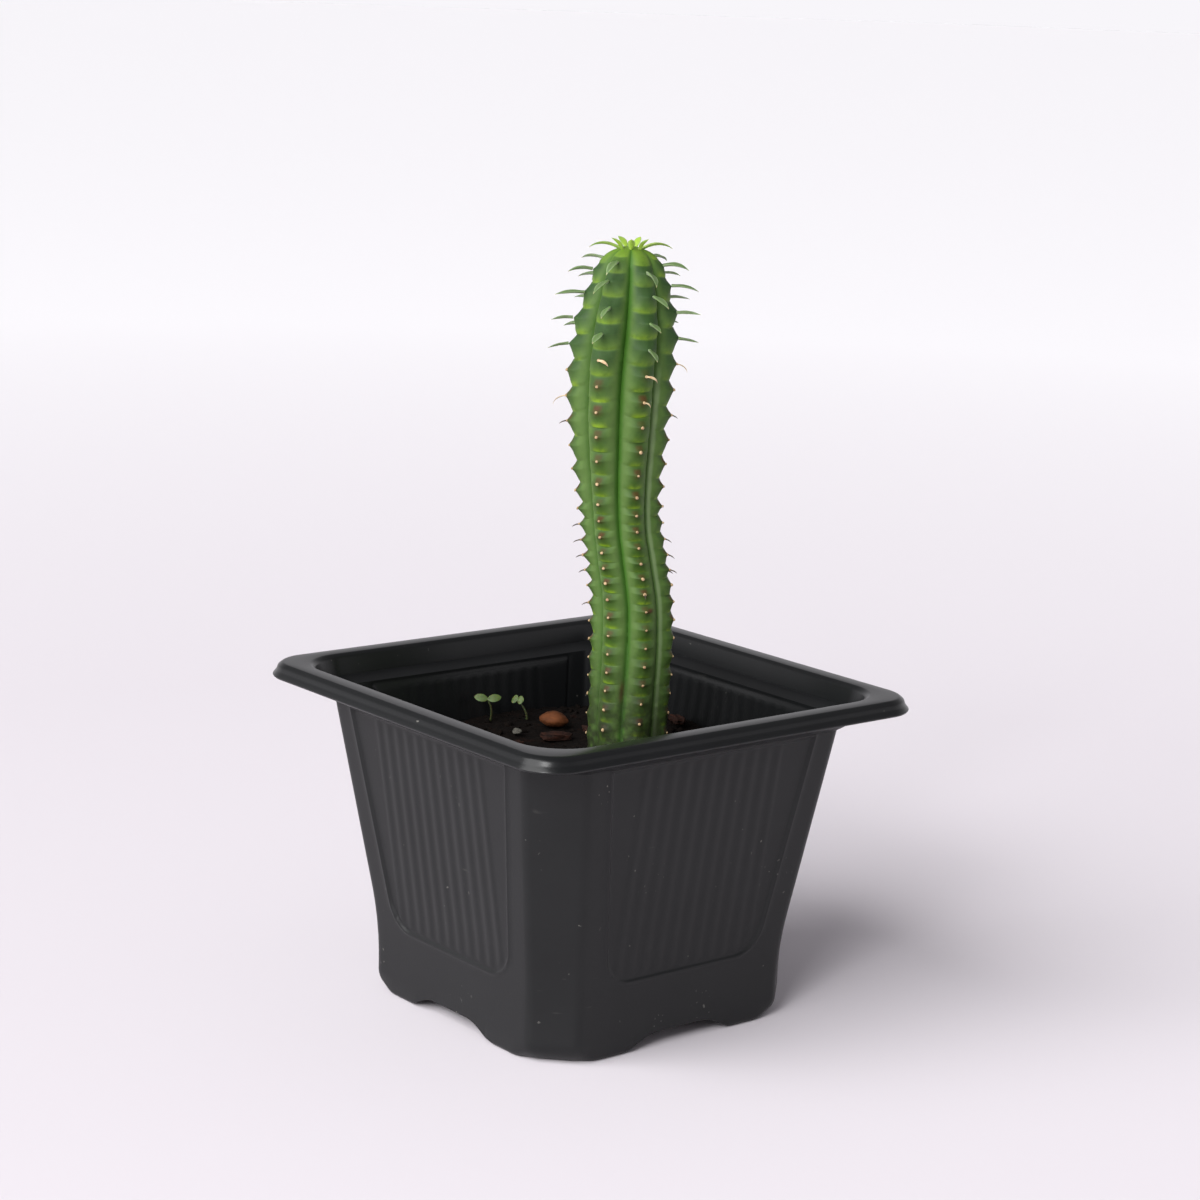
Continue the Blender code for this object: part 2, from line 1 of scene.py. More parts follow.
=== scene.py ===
"""Looks of a young ribbed succulent in a square nursery pot, laid out as a Blender add-on.

Shapes are worked out in millimetres, in the frame's own axes, and written in metres. The pot's sides lie
along X and Y, its front corner is the one at +X, -Y, and the ground is at Z = 0.
"""
import math
import random
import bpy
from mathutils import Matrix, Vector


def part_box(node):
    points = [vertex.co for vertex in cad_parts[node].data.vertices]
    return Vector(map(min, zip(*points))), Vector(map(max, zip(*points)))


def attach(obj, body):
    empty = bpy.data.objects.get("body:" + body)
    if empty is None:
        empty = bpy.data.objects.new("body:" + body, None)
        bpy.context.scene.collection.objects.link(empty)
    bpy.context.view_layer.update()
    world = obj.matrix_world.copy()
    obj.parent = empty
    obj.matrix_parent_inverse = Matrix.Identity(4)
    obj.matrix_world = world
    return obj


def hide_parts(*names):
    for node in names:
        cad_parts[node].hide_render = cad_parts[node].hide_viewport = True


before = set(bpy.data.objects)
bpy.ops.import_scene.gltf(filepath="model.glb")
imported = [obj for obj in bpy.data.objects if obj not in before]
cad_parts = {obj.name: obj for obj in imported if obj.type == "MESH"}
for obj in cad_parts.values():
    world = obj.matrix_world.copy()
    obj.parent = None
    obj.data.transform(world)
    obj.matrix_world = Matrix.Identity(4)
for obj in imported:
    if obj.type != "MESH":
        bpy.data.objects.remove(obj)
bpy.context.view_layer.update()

from types import SimpleNamespace

import bmesh
import bpy
import numpy as np
from mathutils import Matrix, Vector, noise

bl_info = {
    "name": "Potted ribbed succulent",
    "version": (1, 0, 0),
    "blender": (4, 5, 0),
    "location": "3D View > Sidebar > Plant",
    "description": "Builds a ribbed succulent in a moulded nursery pot, and a studio to see it in",
    "category": "Object",
}

MM = 0.001

# ---- Sizes that the construction and the looks share, in millimetres ----

POT_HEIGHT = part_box("pot")[1][2] / MM
FOOT_HALF = 34.7              # half the side at the foot
WALL_TAPER = 0.163            # how far a side leans out for each mm of height
BEND_LOW = 6.0                # the side is upright below this height
BEND_HIGH = 24.0              # and leans by the full taper above this one
WALL_TOP = POT_HEIGHT - 6.8   # where the side turns out into the ledge
INNER_LEDGE = POT_HEIGHT - 6.1
CORNER_CUT = 0.215            # share of the half side that each corner's cut takes
CREASE_RADIUS = 3.2
FOOT_ROUNDING = 4.5
FLOOR_TOP = 4.9
FLOOR_FILLET = 1.2
ARCH_HEIGHT = 3.4
ARCH_FLAT = 6.0               # half the level top of the arch in each side
ARCH_HALF = 17.0              # half its width at the ground
UNDERSIDE_HALF = 24.5         # half the hollow under the floor
DRAIN_RADIUS = 3.5
DRAIN_SPREAD = 15.0
PANEL_TOP = 64.7
PANEL_BOTTOM = 16.4
PANEL_TOP_HALF = 27.3
PANEL_BOTTOM_HALF = 20.4
PANEL_ROUNDING = 6.0
FLUTE_COUNT = 11
FLUTE_PITCH = 3.6

# Rim, from the collar's foot outside, over the flat band, to the collar's foot inside:
# half the side, drop below the pot's top, and corner radius
RIM_PROFILE = (
    (45.7, 4.6, 12.0),
    (46.2, 1.1, 11.9),
    (48.8, 1.1, 9.4),
    (50.4, 3.1, 8.7),
    (51.3, 3.2, 9.1),
    (51.6, 2.75, 9.2),
    (50.8, 1.75, 8.5),
    (50.45, 0.75, 8.1),
    (49.6, 0.0, 7.6),
    (46.0, 0.0, 10.8),
    (45.3, 0.7, 11.0),
    (44.6, 4.7, 11.0),
)

SOIL_TOP = 54.0
SOIL_SWELL = 0.6
GAP = 0.3                     # clearance between solids that touch
STEM_X = 2.2
STEM_Y = 10.0
STEM_FOOT = 33.0
FACING = -39.1                # direction that the valley between the two front ribs looks, degrees
RIBS = 7
RIB_ANGLE = 360 / RIBS
RIB_PHASES = (0.0, 0.35, 0.77, 0.18, 0.59, 0.0, 0.56)    # how far each rib's teeth are raised, in pitches
# By height: how far the stem's middle lies to the right of its foot, seen from the front, its twist in
# degrees, the reach of a crest, the depth of its notches, and how much of that reach a valley keeps
SWAY = ((33, 0), (60, 0), (77, 0.2), (88.5, -0.2), (99, -1.9), (105, -3.0), (115, -4.0),
        (125, -4.5), (137, -4.5), (150, -3.7), (158, -3.4), (167, -3.3))
TWIST = ((33, -13), (65, -11.5), (80, -8.5), (98, -7.3), (112, -3.6), (124, 0.5), (167, 0.5))
TOOTH_RADIUS = ((33, 6.0), (42, 8.2), (50, 8.8), (70, 9.2), (85, 9.4), (98, 9.4), (106, 9.2),
                (112, 9.5), (120, 10.4), (130, 11.4), (141, 11.8), (148, 11.5), (152, 10.6),
                (156, 9.2), (160, 7.6), (162.3, 6.0), (163.6, 4.2), (164.4, 1.8), (164.7, 0.2))
TOOTH_HEIGHT = ((33, 0.1), (55, 0.25), (70, 0.5), (85, 0.8), (95, 1.1), (115, 1.1), (128, 1.25),
                (145, 1.3), (155, 1.0), (161, 0.4), (164.4, 0.0))
VALLEY_SHARE = ((33, 0.9), (60, 0.84), (90, 0.76), (120, 0.72), (150, 0.7), (164.4, 0.85))
# Height of the teeth by their level, which goes up by one from a tooth to the next on its rib
TOOTH_LEVEL = ((-20, 45.05), (-17, 58.6), (-15, 67.5), (-13, 75.7), (-11, 83.8), (-9, 91.6), (-7, 98.2),
               (-5, 105.0), (-3, 112.4), (0, 127.5), (4, 149.4), (6, 159.7), (8, 165.4))
FIRST_TOOTH = -17
LAST_TOOTH = 7
NOTCH_LAG = 0.64              # share of a pitch from one tooth's tip down to the notch below it
STEM_TIP = 164.2
LEAF_FROM = 143.0             # height of the lowest tooth that still holds a green leaf
# By height: how far a leaf's root tips up, in degrees
LEAF_RISE = ((143, -5), (150, 1), (157, 4), (163, 8))
CROWN_RADIUS = 2.6
CROWN_LEVEL = 164.5
# Leaves round the growing tip: length, and how steeply each one stands, in degrees
CROWN = ((3.4, 56), (7.2, 26), (3.4, 54), (4.6, 40), (7.2, 24), (4.0, 50), (3.0, 62))


def linear(hex_colour):
    """An sRGB hex value as the linear red, green and blue that shaders take."""
    channels = [int(hex_colour[i:i + 2], 16) / 255 for i in (0, 2, 4)]
    return tuple(c / 12.92 if c <= 0.04045 else ((c + 0.055) / 1.055) ** 2.4 for c in channels)


# ---- What a user can change ----

def length_property(name, description, millimetres):
    """A length, given in millimetres and kept in metres."""
    return bpy.props.FloatProperty(name=name, description=description, default=millimetres * MM,
                                   min=0.0, precision=5, unit="LENGTH")


def colour_property(name, description, hex_colour):
    """A colour, given as sRGB and kept linear."""
    return bpy.props.FloatVectorProperty(name=name, description=description, size=3, min=0.0, max=1.0,
                                         default=linear(hex_colour), subtype="COLOR")


class PotSettings(bpy.types.PropertyGroup):
    """Sizes and colours of the moulded pot."""
    wall: length_property("Wall", "Thickness of the moulded wall", 1.3)
    panel_depth: length_property("Panel depth", "How far the fluted field lies below the side", 0.35)
    panel_step: length_property("Panel step", "Width of the step round the fluted field", 0.7)
    bead: length_property("Border bead", "How far the bead round the fluted field stands out", 0.19)
    flute_height: length_property("Flute height", "Rise of a flute over the groove beside it", 0.17)
    colour: colour_property("Plastic", "Colour of the recycled black plastic", "0F1011")
    dust_colour: colour_property("Dust", "Colour of the dry dust and mineral specks on it", "B9B6AE")


class StemSettings(bpy.types.PropertyGroup):
    """Sizes and colours of the ribbed stem."""
    tip_reach: length_property("Tip reach", "How far a tooth's tip stands past its rib", 0.2)
    skin_lump: length_property("Unevenness", "How far the skin wanders from its true shape", 0.14)
    skin: colour_property("Skin", "Main green of the ribs", "3C5A1B")
    # Dark skin is also the colour of the painted shade under each tooth and the painted shadow under each
    # plate's lip.
    skin_dark: colour_property("Dark skin", "Bluish green of the faces under each tooth", "233E1E")
    flank: colour_property("Flank", "Pale grey-green bloom along the ribs' sides", "567038")
    # The valley colour also paints the shade in the grooves.
    valley: colour_property("Valley", "Deep green between two ribs", "356018")
    # This colour paints a highlight along one side of a groove.
    wax: colour_property("Wax line", "Pale wax along one side of a valley", "8A9C74")
    lip: colour_property("Lip", "Yellow-green of the ledge over each tooth", "809E20")
    young: colour_property("Young skin", "Fresh green near the growing tip", "6C9024")
    scorch: colour_property("Scorch", "Red-brown mark round each old leaf scar", "4E2412")
    # Cork also paints the shade that the pot casts on the stem's foot.
    cork: colour_property("Cork", "Grey-brown of the worn foot", "1E2014")
    scar: colour_property("Leaf scar", "Pale button that a fallen leaf leaves", "B99E78")


class LeafSettings(bpy.types.PropertyGroup):
    """Sizes and colours of the leaves."""
    length: length_property("Length", "Length of a full-grown leaf", 6.0)
    width: length_property("Width", "Width of a full-grown leaf", 1.6)
    thickness: length_property("Thickness", "Thickness of a leaf along its middle", 0.5)
    front: colour_property("Upper side", "Grey-green of a leaf's upper side", "5C7644")
    back: colour_property("Under side", "Paler grey-green of a leaf's under side and edges", "8C9E76")
    young: colour_property("Young leaf", "Yellow-green of the leaves round the growing tip", "98B83C")
    dry: colour_property("Dry leaf", "Tan of the withered leaves that still hang on", "D6BF98")
    spine: colour_property("Dry stub", "Dark brown of the stubs on old teeth", "3A3226")


class MixSettings(bpy.types.PropertyGroup):
    """Sizes and colours of the potting mix and what lies on it."""
    crumb: length_property("Crumb", "Size of the mix's crumbs", 1.7)
    crumb_height: length_property("Crumb height", "How far the crumbs stand out", 0.55)
    peat: colour_property("Peat", "Colour of the damp peat", "070403")
    peat_dry: colour_property("Dry peat", "Colour of the driest crumbs", "150D08")
    bark: colour_property("Bark", "Colour of the bark chips", "1A0B06")
    bark_pale: colour_property("Bark inside", "Colour of the bark's broken faces", "30160B")
    orange_stone: colour_property("Orange stone", "Colour of the large stone", "583016")
    pale_stone: colour_property("Pale stone", "Colour of the small stone", "4E4C46")
    sprout: colour_property("Sprout", "Green of the seedlings", "435326")
    stalk: colour_property("Stalk", "Dull green of the seedlings' stalks", "33381C")


class StudioSettings(bpy.types.PropertyGroup):
    """Floor, light and camera."""
    floor: colour_property("Floor", "Colour of the plain floor under the plant", "E2DCE2")
    floor_far: colour_property("Far floor", "Colour of the floor a long way behind the plant", "FAF8FB")
    sky: colour_property("Surround", "Colour of the bright room round the plant", "F8F6FA")
    lens: bpy.props.FloatProperty(name="Lens", description="Focal length of the camera", default=85.5,
                                  min=1.0, unit="CAMERA")
    key_power: bpy.props.FloatProperty(name="Key light", default=3.75, min=0.0,
                                       description="Strength of the soft light from the left")
    front_power: bpy.props.FloatProperty(name="Front light", default=12.0, min=0.0, unit="POWER",
                                         description="Power of the softbox above the camera")


# ---- Curves through knots, meshes and materials ----

def smooth_value(knots, at):
    """Read a smooth curve through (position, value) knots, at one place or at an array of them."""
    places, values = np.array(knots, float).T
    last = len(places) - 1
    before = np.maximum(np.arange(last + 1) - 1, 0)
    after = np.minimum(np.arange(last + 1) + 1, last)
    slopes = (values[after] - values[before]) / (places[after] - places[before])
    at = np.clip(at, places[0], places[-1])
    i = np.clip(np.searchsorted(places, at, side="right") - 1, 0, last - 1)
    run = places[i + 1] - places[i]
    t = (at - places[i]) / run
    return ((2 * t ** 3 - 3 * t ** 2 + 1) * values[i] + (t ** 3 - 2 * t ** 2 + t) * run * slopes[i]
            + (3 * t ** 2 - 2 * t ** 3) * values[i + 1] + (t ** 3 - t ** 2) * run * slopes[i + 1])


def smoothstep(low, high, value):
    """0 below low, 1 above high, and an even turn between them. High may lie below low."""
    t = np.clip((np.asarray(value, float) - low) / (high - low), 0.0, 1.0)
    return t * t * (3 - 2 * t)


def all_round(count):
    """Directions spaced evenly all the way round, in radians."""
    return np.arange(count) * 2 * np.pi / count


def tube_faces(rings, columns):
    """Quads between closed rings laid one after the other, with a cap on each end."""
    here = np.arange(columns)
    after = (here + 1) % columns
    base = np.arange(rings - 1)[:, None] * columns
    quads = np.stack((base + here, base + after, base + columns + after, base + columns + here), axis=2)
    faces = quads.reshape(-1, 4).tolist()
    faces.append(list(range(columns - 1, -1, -1)))
    faces.append(list(range((rings - 1) * columns, rings * columns)))
    return faces


class Shape:
    """Points in millimetres, faces, and named values for each point, gathered part by part."""

    def __init__(self):
        self.points, self.faces, self.values, self.count = [], [], {}, 0

    def add(self, points, faces, **values):
        """Add a part, with values that are given for each of its points or for the whole part."""
        points = np.asarray(points, float).reshape(-1, 3)
        self.faces += [[i + self.count for i in face] for face in faces]
        self.points.append(points)
        for name, value in values.items():
            self.values.setdefault(name, []).append((self.count, np.broadcast_to(value, len(points))))
        self.count += len(points)

    def make(self, name, material, smooth_angle=50, into="root"):
        """The object, riding on its body, with its values as point attributes."""
        mesh = bpy.data.meshes.new(name)
        mesh.from_pydata((np.vstack(self.points) * MM).tolist(), [], self.faces)
        for key, pieces in self.values.items():
            data = np.zeros(self.count)
            for start, value in pieces:
                data[start:start + len(value)] = value
            mesh.attributes.new(key, "FLOAT", "POINT").data.foreach_set("value", data)
        mesh.shade_smooth()
        mesh.set_sharp_from_angle(angle=math.radians(smooth_angle))
        mesh.materials.append(material)
        thing = bpy.data.objects.new(name, mesh)
        bpy.context.scene.collection.objects.link(thing)
        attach(thing, into)
        return thing


def add_node(tree, kind, inputs=None, **settings):
    """Add a node, set it up, and fill its inputs with values or with other nodes' outputs."""
    node = tree.nodes.new(kind)
    for name, value in settings.items():
        setattr(node, name, value)
    for key, value in (inputs or {}).items():
        if isinstance(value, bpy.types.NodeSocket):
            tree.links.new(value, node.inputs[key])
        else:
            node.inputs[key].default_value = value
    return node


def new_material(name, roughness, **numbers):
    """A material with a Principled BSDF, its plain numbers set on the shader's own sockets."""
    material = bpy.data.materials.new(name)
    material.use_nodes = True
    tree = material.node_tree
    shader = tree.nodes["Principled BSDF"]
    shader.inputs["Roughness"].default_value = roughness
    for socket, value in numbers.items():
        shader.inputs[socket.replace("_", " ")].default_value = value
    return material, tree, shader


def share_of(tree, *factors):
    """Several factors multiplied into one share. Each is a number, an output or a point value's name."""
    whole = None
    for factor in factors:
        if isinstance(factor, str):
            factor = add_node(tree, "ShaderNodeAttribute", attribute_name=factor).outputs["Fac"]
        if whole is not None:
            factor = add_node(tree, "ShaderNodeMath", {0: whole, 1: factor}, operation="MULTIPLY").outputs[0]
        whole = factor
    return whole


def coated(tree, colour, *coats):
    """A colour with coats laid over it in turn, each given as its colour and the factors of its share."""
    for coat, *factors in coats:
        under, over = (c if isinstance(c, bpy.types.NodeSocket) else (*c, 1.0) for c in (colour, coat))
        colour = add_node(tree, "ShaderNodeMix", {0: share_of(tree, *factors), 6: under, 7: over},
                          data_type="RGBA").outputs[2]
    return colour


def toned(colour, factor):
    """A linear colour made darker or paler."""
    return tuple(min(1.0, factor * c) for c in colour)


def speckle(tree, millimetres, low, high, detail=4.0, stretch=(1.0, 1.0, 1.0)):
    """Noise whose features are some millimetres across, as a share that runs between two levels."""
    place = add_node(tree, "ShaderNodeTexCoord").outputs["Object"]
    scaled = add_node(tree, "ShaderNodeMapping", {"Vector": place, "Scale": stretch}).outputs[0]
    grain = add_node(tree, "ShaderNodeTexNoise",
                     {"Vector": scaled, "Scale": 1 / (millimetres * MM), "Detail": detail})
    return add_node(tree, "ShaderNodeMapRange", {"Value": grain.outputs["Fac"], "From Min": low,
                                                 "From Max": high}).outputs[0]


def dress(tree, shader, colour, height, millimetres, strength):
    """Give a shader its colour, and raise its surface by some millimetres where the height is 1."""
    tree.links.new(colour, shader.inputs["Base Color"])
    relief = add_node(tree, "ShaderNodeBump", {"Height": height, "Distance": millimetres * MM,
                                               "Strength": strength})
    tree.links.new(relief.outputs[0], shader.inputs["Normal"])


# ---- Pot ----

CREASE_POINTS = 7
CUT_POINTS = 5                # between the two creases of a corner
FOOT_EDGE = 0.3               # rounding under the sides, as a share of the corners' rounding
INSIDE_RELIEF = 0.5           # how much of the sides' relief shows on the inside
MARGIN_COLUMNS = 3            # between a panel's border and the corner
FLUTE_COLUMNS = 8             # to one flute
BORDER_DEPTHS = (1.4, 0.7, 0.35, 0.1, -0.12, -0.35, -0.6, -1.0)    # of the columns inside a panel's border
GRAINED, POLISHED = 0.44, 0.3    # roughness of the walls' outside, and of the rim and the inside


def wall_half(height):
    """Half the side of the pot's outer wall: upright foot, a slow bend, then a straight taper."""
    bend = BEND_HIGH - BEND_LOW
    if height <= BEND_LOW:
        return FOOT_HALF
    if height <= BEND_HIGH:
        return FOOT_HALF + WALL_TAPER * (height - BEND_LOW) ** 2 / (2 * bend)
    return FOOT_HALF + WALL_TAPER * (bend / 2 + height - BEND_HIGH)


def panel_half(height):
    """Half the fluted panel's width, which narrows downwards."""
    share = (min(max(height, PANEL_BOTTOM), PANEL_TOP) - PANEL_BOTTOM) / (PANEL_TOP - PANEL_BOTTOM)
    return PANEL_BOTTOM_HALF + share * (PANEL_TOP_HALF - PANEL_BOTTOM_HALF)


def chamfered_corner(half, cut):
    """The corner at +X, +Y, cut off at 45 degrees, with both creases softened by an arc."""
    centre = np.array((half - CREASE_RADIUS, half - cut - CREASE_RADIUS * math.tan(math.radians(22.5))))
    turn = np.radians(np.linspace(0, 45, CREASE_POINTS))
    crease = centre + CREASE_RADIUS * np.column_stack((np.cos(turn), np.sin(turn)))
    mirrored = crease[::-1, ::-1]
    steps = np.linspace(0, 1, CUT_POINTS + 2)[1:-1, None]
    return np.vstack((crease, crease[-1] + (mirrored[0] - crease[-1]) * steps, mirrored))


def round_corner(half, radius):
    """The same corner as a quarter circle, with as many points."""
    turn = np.radians(np.linspace(0, 90, 2 * CREASE_POINTS + CUT_POINTS))
    return half - radius + radius * np.column_stack((np.cos(turn), np.sin(turn)))


def side_places(flat, border):
    """Where a side has columns: even over the flutes, close together at the panel's borders."""
    reach = FLUTE_PITCH * FLUTE_COUNT / 2
    edge = border - np.array(BORDER_DEPTHS)
    reach = min(reach, edge[0] - 0.3)
    flutes = np.linspace(-reach, reach, FLUTE_COUNT * FLUTE_COLUMNS + 1)
    field = reach + (edge[0] - reach) * np.array((1 / 3, 2 / 3))
    margin = edge[-1] + (flat - edge[-1]) * np.arange(1, MARGIN_COLUMNS + 1) / (MARGIN_COLUMNS + 1)
    outer = np.concatenate((field, edge, margin))
    return np.concatenate((-outer[::-1], flutes, outer))


def side_relief(across, height, pot):
    """How far a side's skin stands out of its plane: a bead, a step down, and then the flutes."""
    foot_run = np.clip(np.abs(across) - (panel_half(height) - PANEL_ROUNDING), 0, None)
    rise = PANEL_BOTTOM + PANEL_ROUNDING - height
    inside = np.minimum(panel_half(height) - np.abs(across), PANEL_TOP - height)
    inside = np.minimum(inside, height - PANEL_BOTTOM)
    if rise > 0:
        inside = np.minimum(inside, PANEL_ROUNDING - np.hypot(foot_run, rise))
    step = pot.panel_step / MM / 2
    field = smoothstep(-step, step, inside)
    bead = pot.bead / MM * np.exp(-((inside + 0.25) / 0.5) ** 2)
    wave = pot.flute_height / MM * (0.5 + 0.5 * np.cos(2 * np.pi * across / FLUTE_PITCH))
    reach = FLUTE_PITCH * FLUTE_COUNT / 2
    wave = wave * smoothstep(reach, reach - FLUTE_PITCH / 2, np.abs(across))
    return bead + field * smoothstep(0.2, 1.6, inside) * wave - field * pot.panel_depth / MM


def whole_ring(corner, across, half, push, height):
    """One side and one corner, repeated all round."""
    quarter = np.vstack((np.column_stack((half + push, across)), corner))
    turns = [np.array(((c, s), (-s, c))) for c, s in ((1, 0), (0, 1), (-1, 0), (0, -1))]
    flat = np.vstack([quarter @ turn for turn in turns])
    return np.column_stack((flat, np.full(len(flat), height)))


def wall_ring(height, pot, inset=0.0, relief=1.0):
    """The wall's outline at a height, moved in by an inset, with some of the sides' relief."""
    half = wall_half(height)
    corner = chamfered_corner(half - inset, CORNER_CUT * half - (2 - math.sqrt(2)) * inset)
    across = side_places(corner[0][1], panel_half(height))
    return whole_ring(corner, across, half - inset, relief * side_relief(across, height, pot), height)


def rim_ring(half, drop, radius):
    """One round-cornered outline of the rim, below the pot's top."""
    across = side_places(half - radius, PANEL_TOP_HALF)
    return whole_ring(round_corner(half, radius), across, half, 0 * across, POT_HEIGHT - drop)


def softened(profile, reach, steps=2):
    """Round every bend of a profile, starting `reach` millimetres before it."""
    points = np.array(profile, float)
    smooth = [points[0]]
    for before, here, after in zip(points, points[1:], points[2:]):
        start = here + (before - here) * min(0.45, reach / np.linalg.norm((before - here)[:2]))
        end = here + (after - here) * min(0.45, reach / np.linalg.norm((after - here)[:2]))
        for t in np.linspace(0, 1, steps + 1):
            smooth.append((1 - t) ** 2 * start + 2 * t * (1 - t) * here + t * t * end)
    return smooth + [points[-1]]


def arch_height(across):
    """Height of the arch between two feet, at a distance from the middle of a side."""
    ramp = np.clip((np.abs(across) - ARCH_FLAT) / (ARCH_HALF - ARCH_FLAT), 0, 1)
    return ARCH_HEIGHT * (1 + np.cos(np.pi * ramp)) / 2


def foot_rings(pot):
    """Underside, from its middle out, and the rounding up to the upright foot."""
    ground = wall_ring(0.0, pot, FOOT_ROUNDING)
    edge = UNDERSIDE_HALF / (FOOT_HALF - FOOT_ROUNDING)
    rings = []
    for share in (0.03, 0.15, 0.3, 0.45, 0.6, edge - 0.02, edge - 0.01, edge, edge + 0.01, edge + 0.02, 0.9):
        ring = ground * (share, share, 1.0)
        ring[:, 2] = ARCH_HEIGHT * (1 - smoothstep(edge - 0.02, edge + 0.02, share))
        rings.append(ring)
    outer = wall_ring(0.0, pot)
    nearer = np.minimum(np.abs(outer[:, 0]), np.abs(outer[:, 1])) / FOOT_HALF
    share = FOOT_EDGE + (1 - FOOT_EDGE) * smoothstep(0.62, 0.8, nearer)
    for turn in np.radians(np.arange(0, 90, 10)):
        ring = outer + (ground - outer) * (share * (1 - math.sin(turn)))[:, None]
        ring[:, 2] = FOOT_ROUNDING * share * (1 - math.cos(turn))
        rings.append(ring)
    for ring in rings:
        arches = np.maximum(arch_height(ring[:, 0]), arch_height(ring[:, 1]))
        ring[:, 2] = np.maximum(ring[:, 2], arches)
    return rings


def drill(thing, spots, radius, low, high):
    """Cut round upright holes, in millimetres, and keep the result as the object's own mesh."""
    mesh = bmesh.new()
    for x, y in spots:
        bmesh.ops.create_cone(mesh, cap_ends=True, segments=40, radius1=radius * MM, radius2=radius * MM,
                              depth=(high - low) * MM,
                              matrix=Matrix.Translation((x * MM, y * MM, (low + high) / 2 * MM)))
    data = bpy.data.meshes.new("drill")
    mesh.to_mesh(data)
    mesh.free()
    tool = bpy.data.objects.new("drill", data)
    bpy.context.scene.collection.objects.link(tool)
    cut = thing.modifiers.new("drill", "BOOLEAN")
    cut.operation, cut.object, cut.solver = "DIFFERENCE", tool, "EXACT"
    bpy.context.view_layer.update()
    drilled = bpy.data.meshes.new_from_object(thing.evaluated_get(bpy.context.evaluated_depsgraph_get()))
    thing.modifiers.clear()
    thing.data = drilled
    bpy.data.objects.remove(tool, do_unlink=True)


def polypropylene(pot):
    """Injection-moulded recycled polypropylene: a satin charcoal whose skin is faintly cloudy, finely
    grained where the tool was spark-eroded, with a few grains of dust and hair-thin scratches."""
    material, tree, shader = new_material("moulded_polypropylene", GRAINED, IOR=1.38)
    # Scratches: short and fine, drawn a fifth of a millimetre wide so that they show.
    scratches = speckle(tree, 2.2, 0.7, 0.76, 2.0, (0.3, 0.3, 1.8)), speckle(tree, 24, 0.56, 0.64)
    # Dust: grains of about 0.2 mm, centimetres apart.
    dust = speckle(tree, 0.8, 0.8, 0.84, 0.0), speckle(tree, 11, 0.58, 0.68)
    colour = coated(tree, pot.colour, (toned(pot.colour, 1.3), speckle(tree, 14, 0.3, 0.7)),
                    (pot.dust_colour, *scratches, 0.05), (pot.dust_colour, *dust, 0.25))
    # The tool is grained for the outside of the walls and polished for the rim and the inside.
    rough = add_node(tree, "ShaderNodeMapRange", {"Value": share_of(tree, "polish"), "To Min": GRAINED,
                                                  "To Max": POLISHED})
    tree.links.new(rough.outputs[0], shader.inputs["Roughness"])
    dress(tree, shader, colour, speckle(tree, 0.5, 0.2, 0.8, 3.0), 0.02, 0.4)
    return material


class PLANT_OT_mould_pot(bpy.types.Operator):
    """Mould the square pot: feet, fluted sides, ledge, collar, flat rim and turned-down lip"""
    bl_idname = "plant.mould_pot"
    bl_label = "Mould the pot"

    def execute(self, context):
        pot = context.scene.plant_pot
        wall = pot.wall / MM
        rings = foot_rings(pot)
        low = (FOOT_ROUNDING, 5.2, BEND_LOW, 9.0, 12.0, 14.5)
        ledge = np.arange(PANEL_BOTTOM - 1.2, PANEL_BOTTOM + 0.9, 0.2)
        rounding = np.arange(PANEL_BOTTOM + 1.2, PANEL_BOTTOM + PANEL_ROUNDING + 0.5, 0.5)
        top = PANEL_TOP - np.array((1.6, 1.0, 0.6, 0.35, 0.1, -0.15, -0.35))
        for z in (*low, *ledge, *rounding, BEND_HIGH, 30.0, 40.0, 50.0, 60.0, *top, WALL_TOP):
            rings.append(wall_ring(z, pot))
        grained = len(rings) * len(rings[0])
        for half, drop, radius in softened(RIM_PROFILE, 0.25):
            rings.append(rim_ring(half, drop, radius))
        inner = (INNER_LEDGE, 65.5, *top[::-2], 60.0, 50.0, 40.0, 30.0, BEND_HIGH, 18.0, 12.0, BEND_LOW)
        for z in inner:
            rings.append(wall_ring(z, pot, wall, INSIDE_RELIEF))
        floor = wall_ring(FLOOR_TOP, pot, wall + FLOOR_FILLET)
        rings += [floor * (share, share, 1.0) for share in (1.0, 0.75, 0.5, 0.25, 0.03)]
        shape = Shape()
        points = np.vstack(rings)
        shape.add(points, tube_faces(len(rings), len(rings[0])), polish=np.arange(len(points)) >= grained)
        piece = shape.make("pot_shell", polypropylene(pot), 40)
        spread = (-DRAIN_SPREAD, DRAIN_SPREAD)
        spots = [(0.0, 0.0)] + [(x, y) for x in spread for y in spread]
        drill(piece, spots, DRAIN_RADIUS, 1.0, FLOOR_TOP + 1.5)
        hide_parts("pot")
        return {"FINISHED"}


# ---- Small forms that several pieces are made of ----

# Outlines of a blade: share of the length, share of the width
LANCE = ((0, 0.5), (0.1, 0.6), (0.32, 0.95), (0.46, 1.0), (0.68, 0.78), (0.87, 0.34), (1, 0.04))
OVAL = ((0, 0.3), (0.12, 0.66), (0.35, 0.98), (0.55, 1.0), (0.8, 0.78), (0.93, 0.45), (1, 0.12))
BLADE_STATIONS = 15


def turned(points, yaw=0.0, pitch=0.0, roll=0.0):
    """Points rolled about X, tilted up about Y, then swung about Z, all in radians."""
    turn = Matrix.Rotation(yaw, 3, "Z") @ Matrix.Rotation(-pitch, 3, "Y") @ Matrix.Rotation(roll, 3, "X")
    return points @ np.array(turn).T


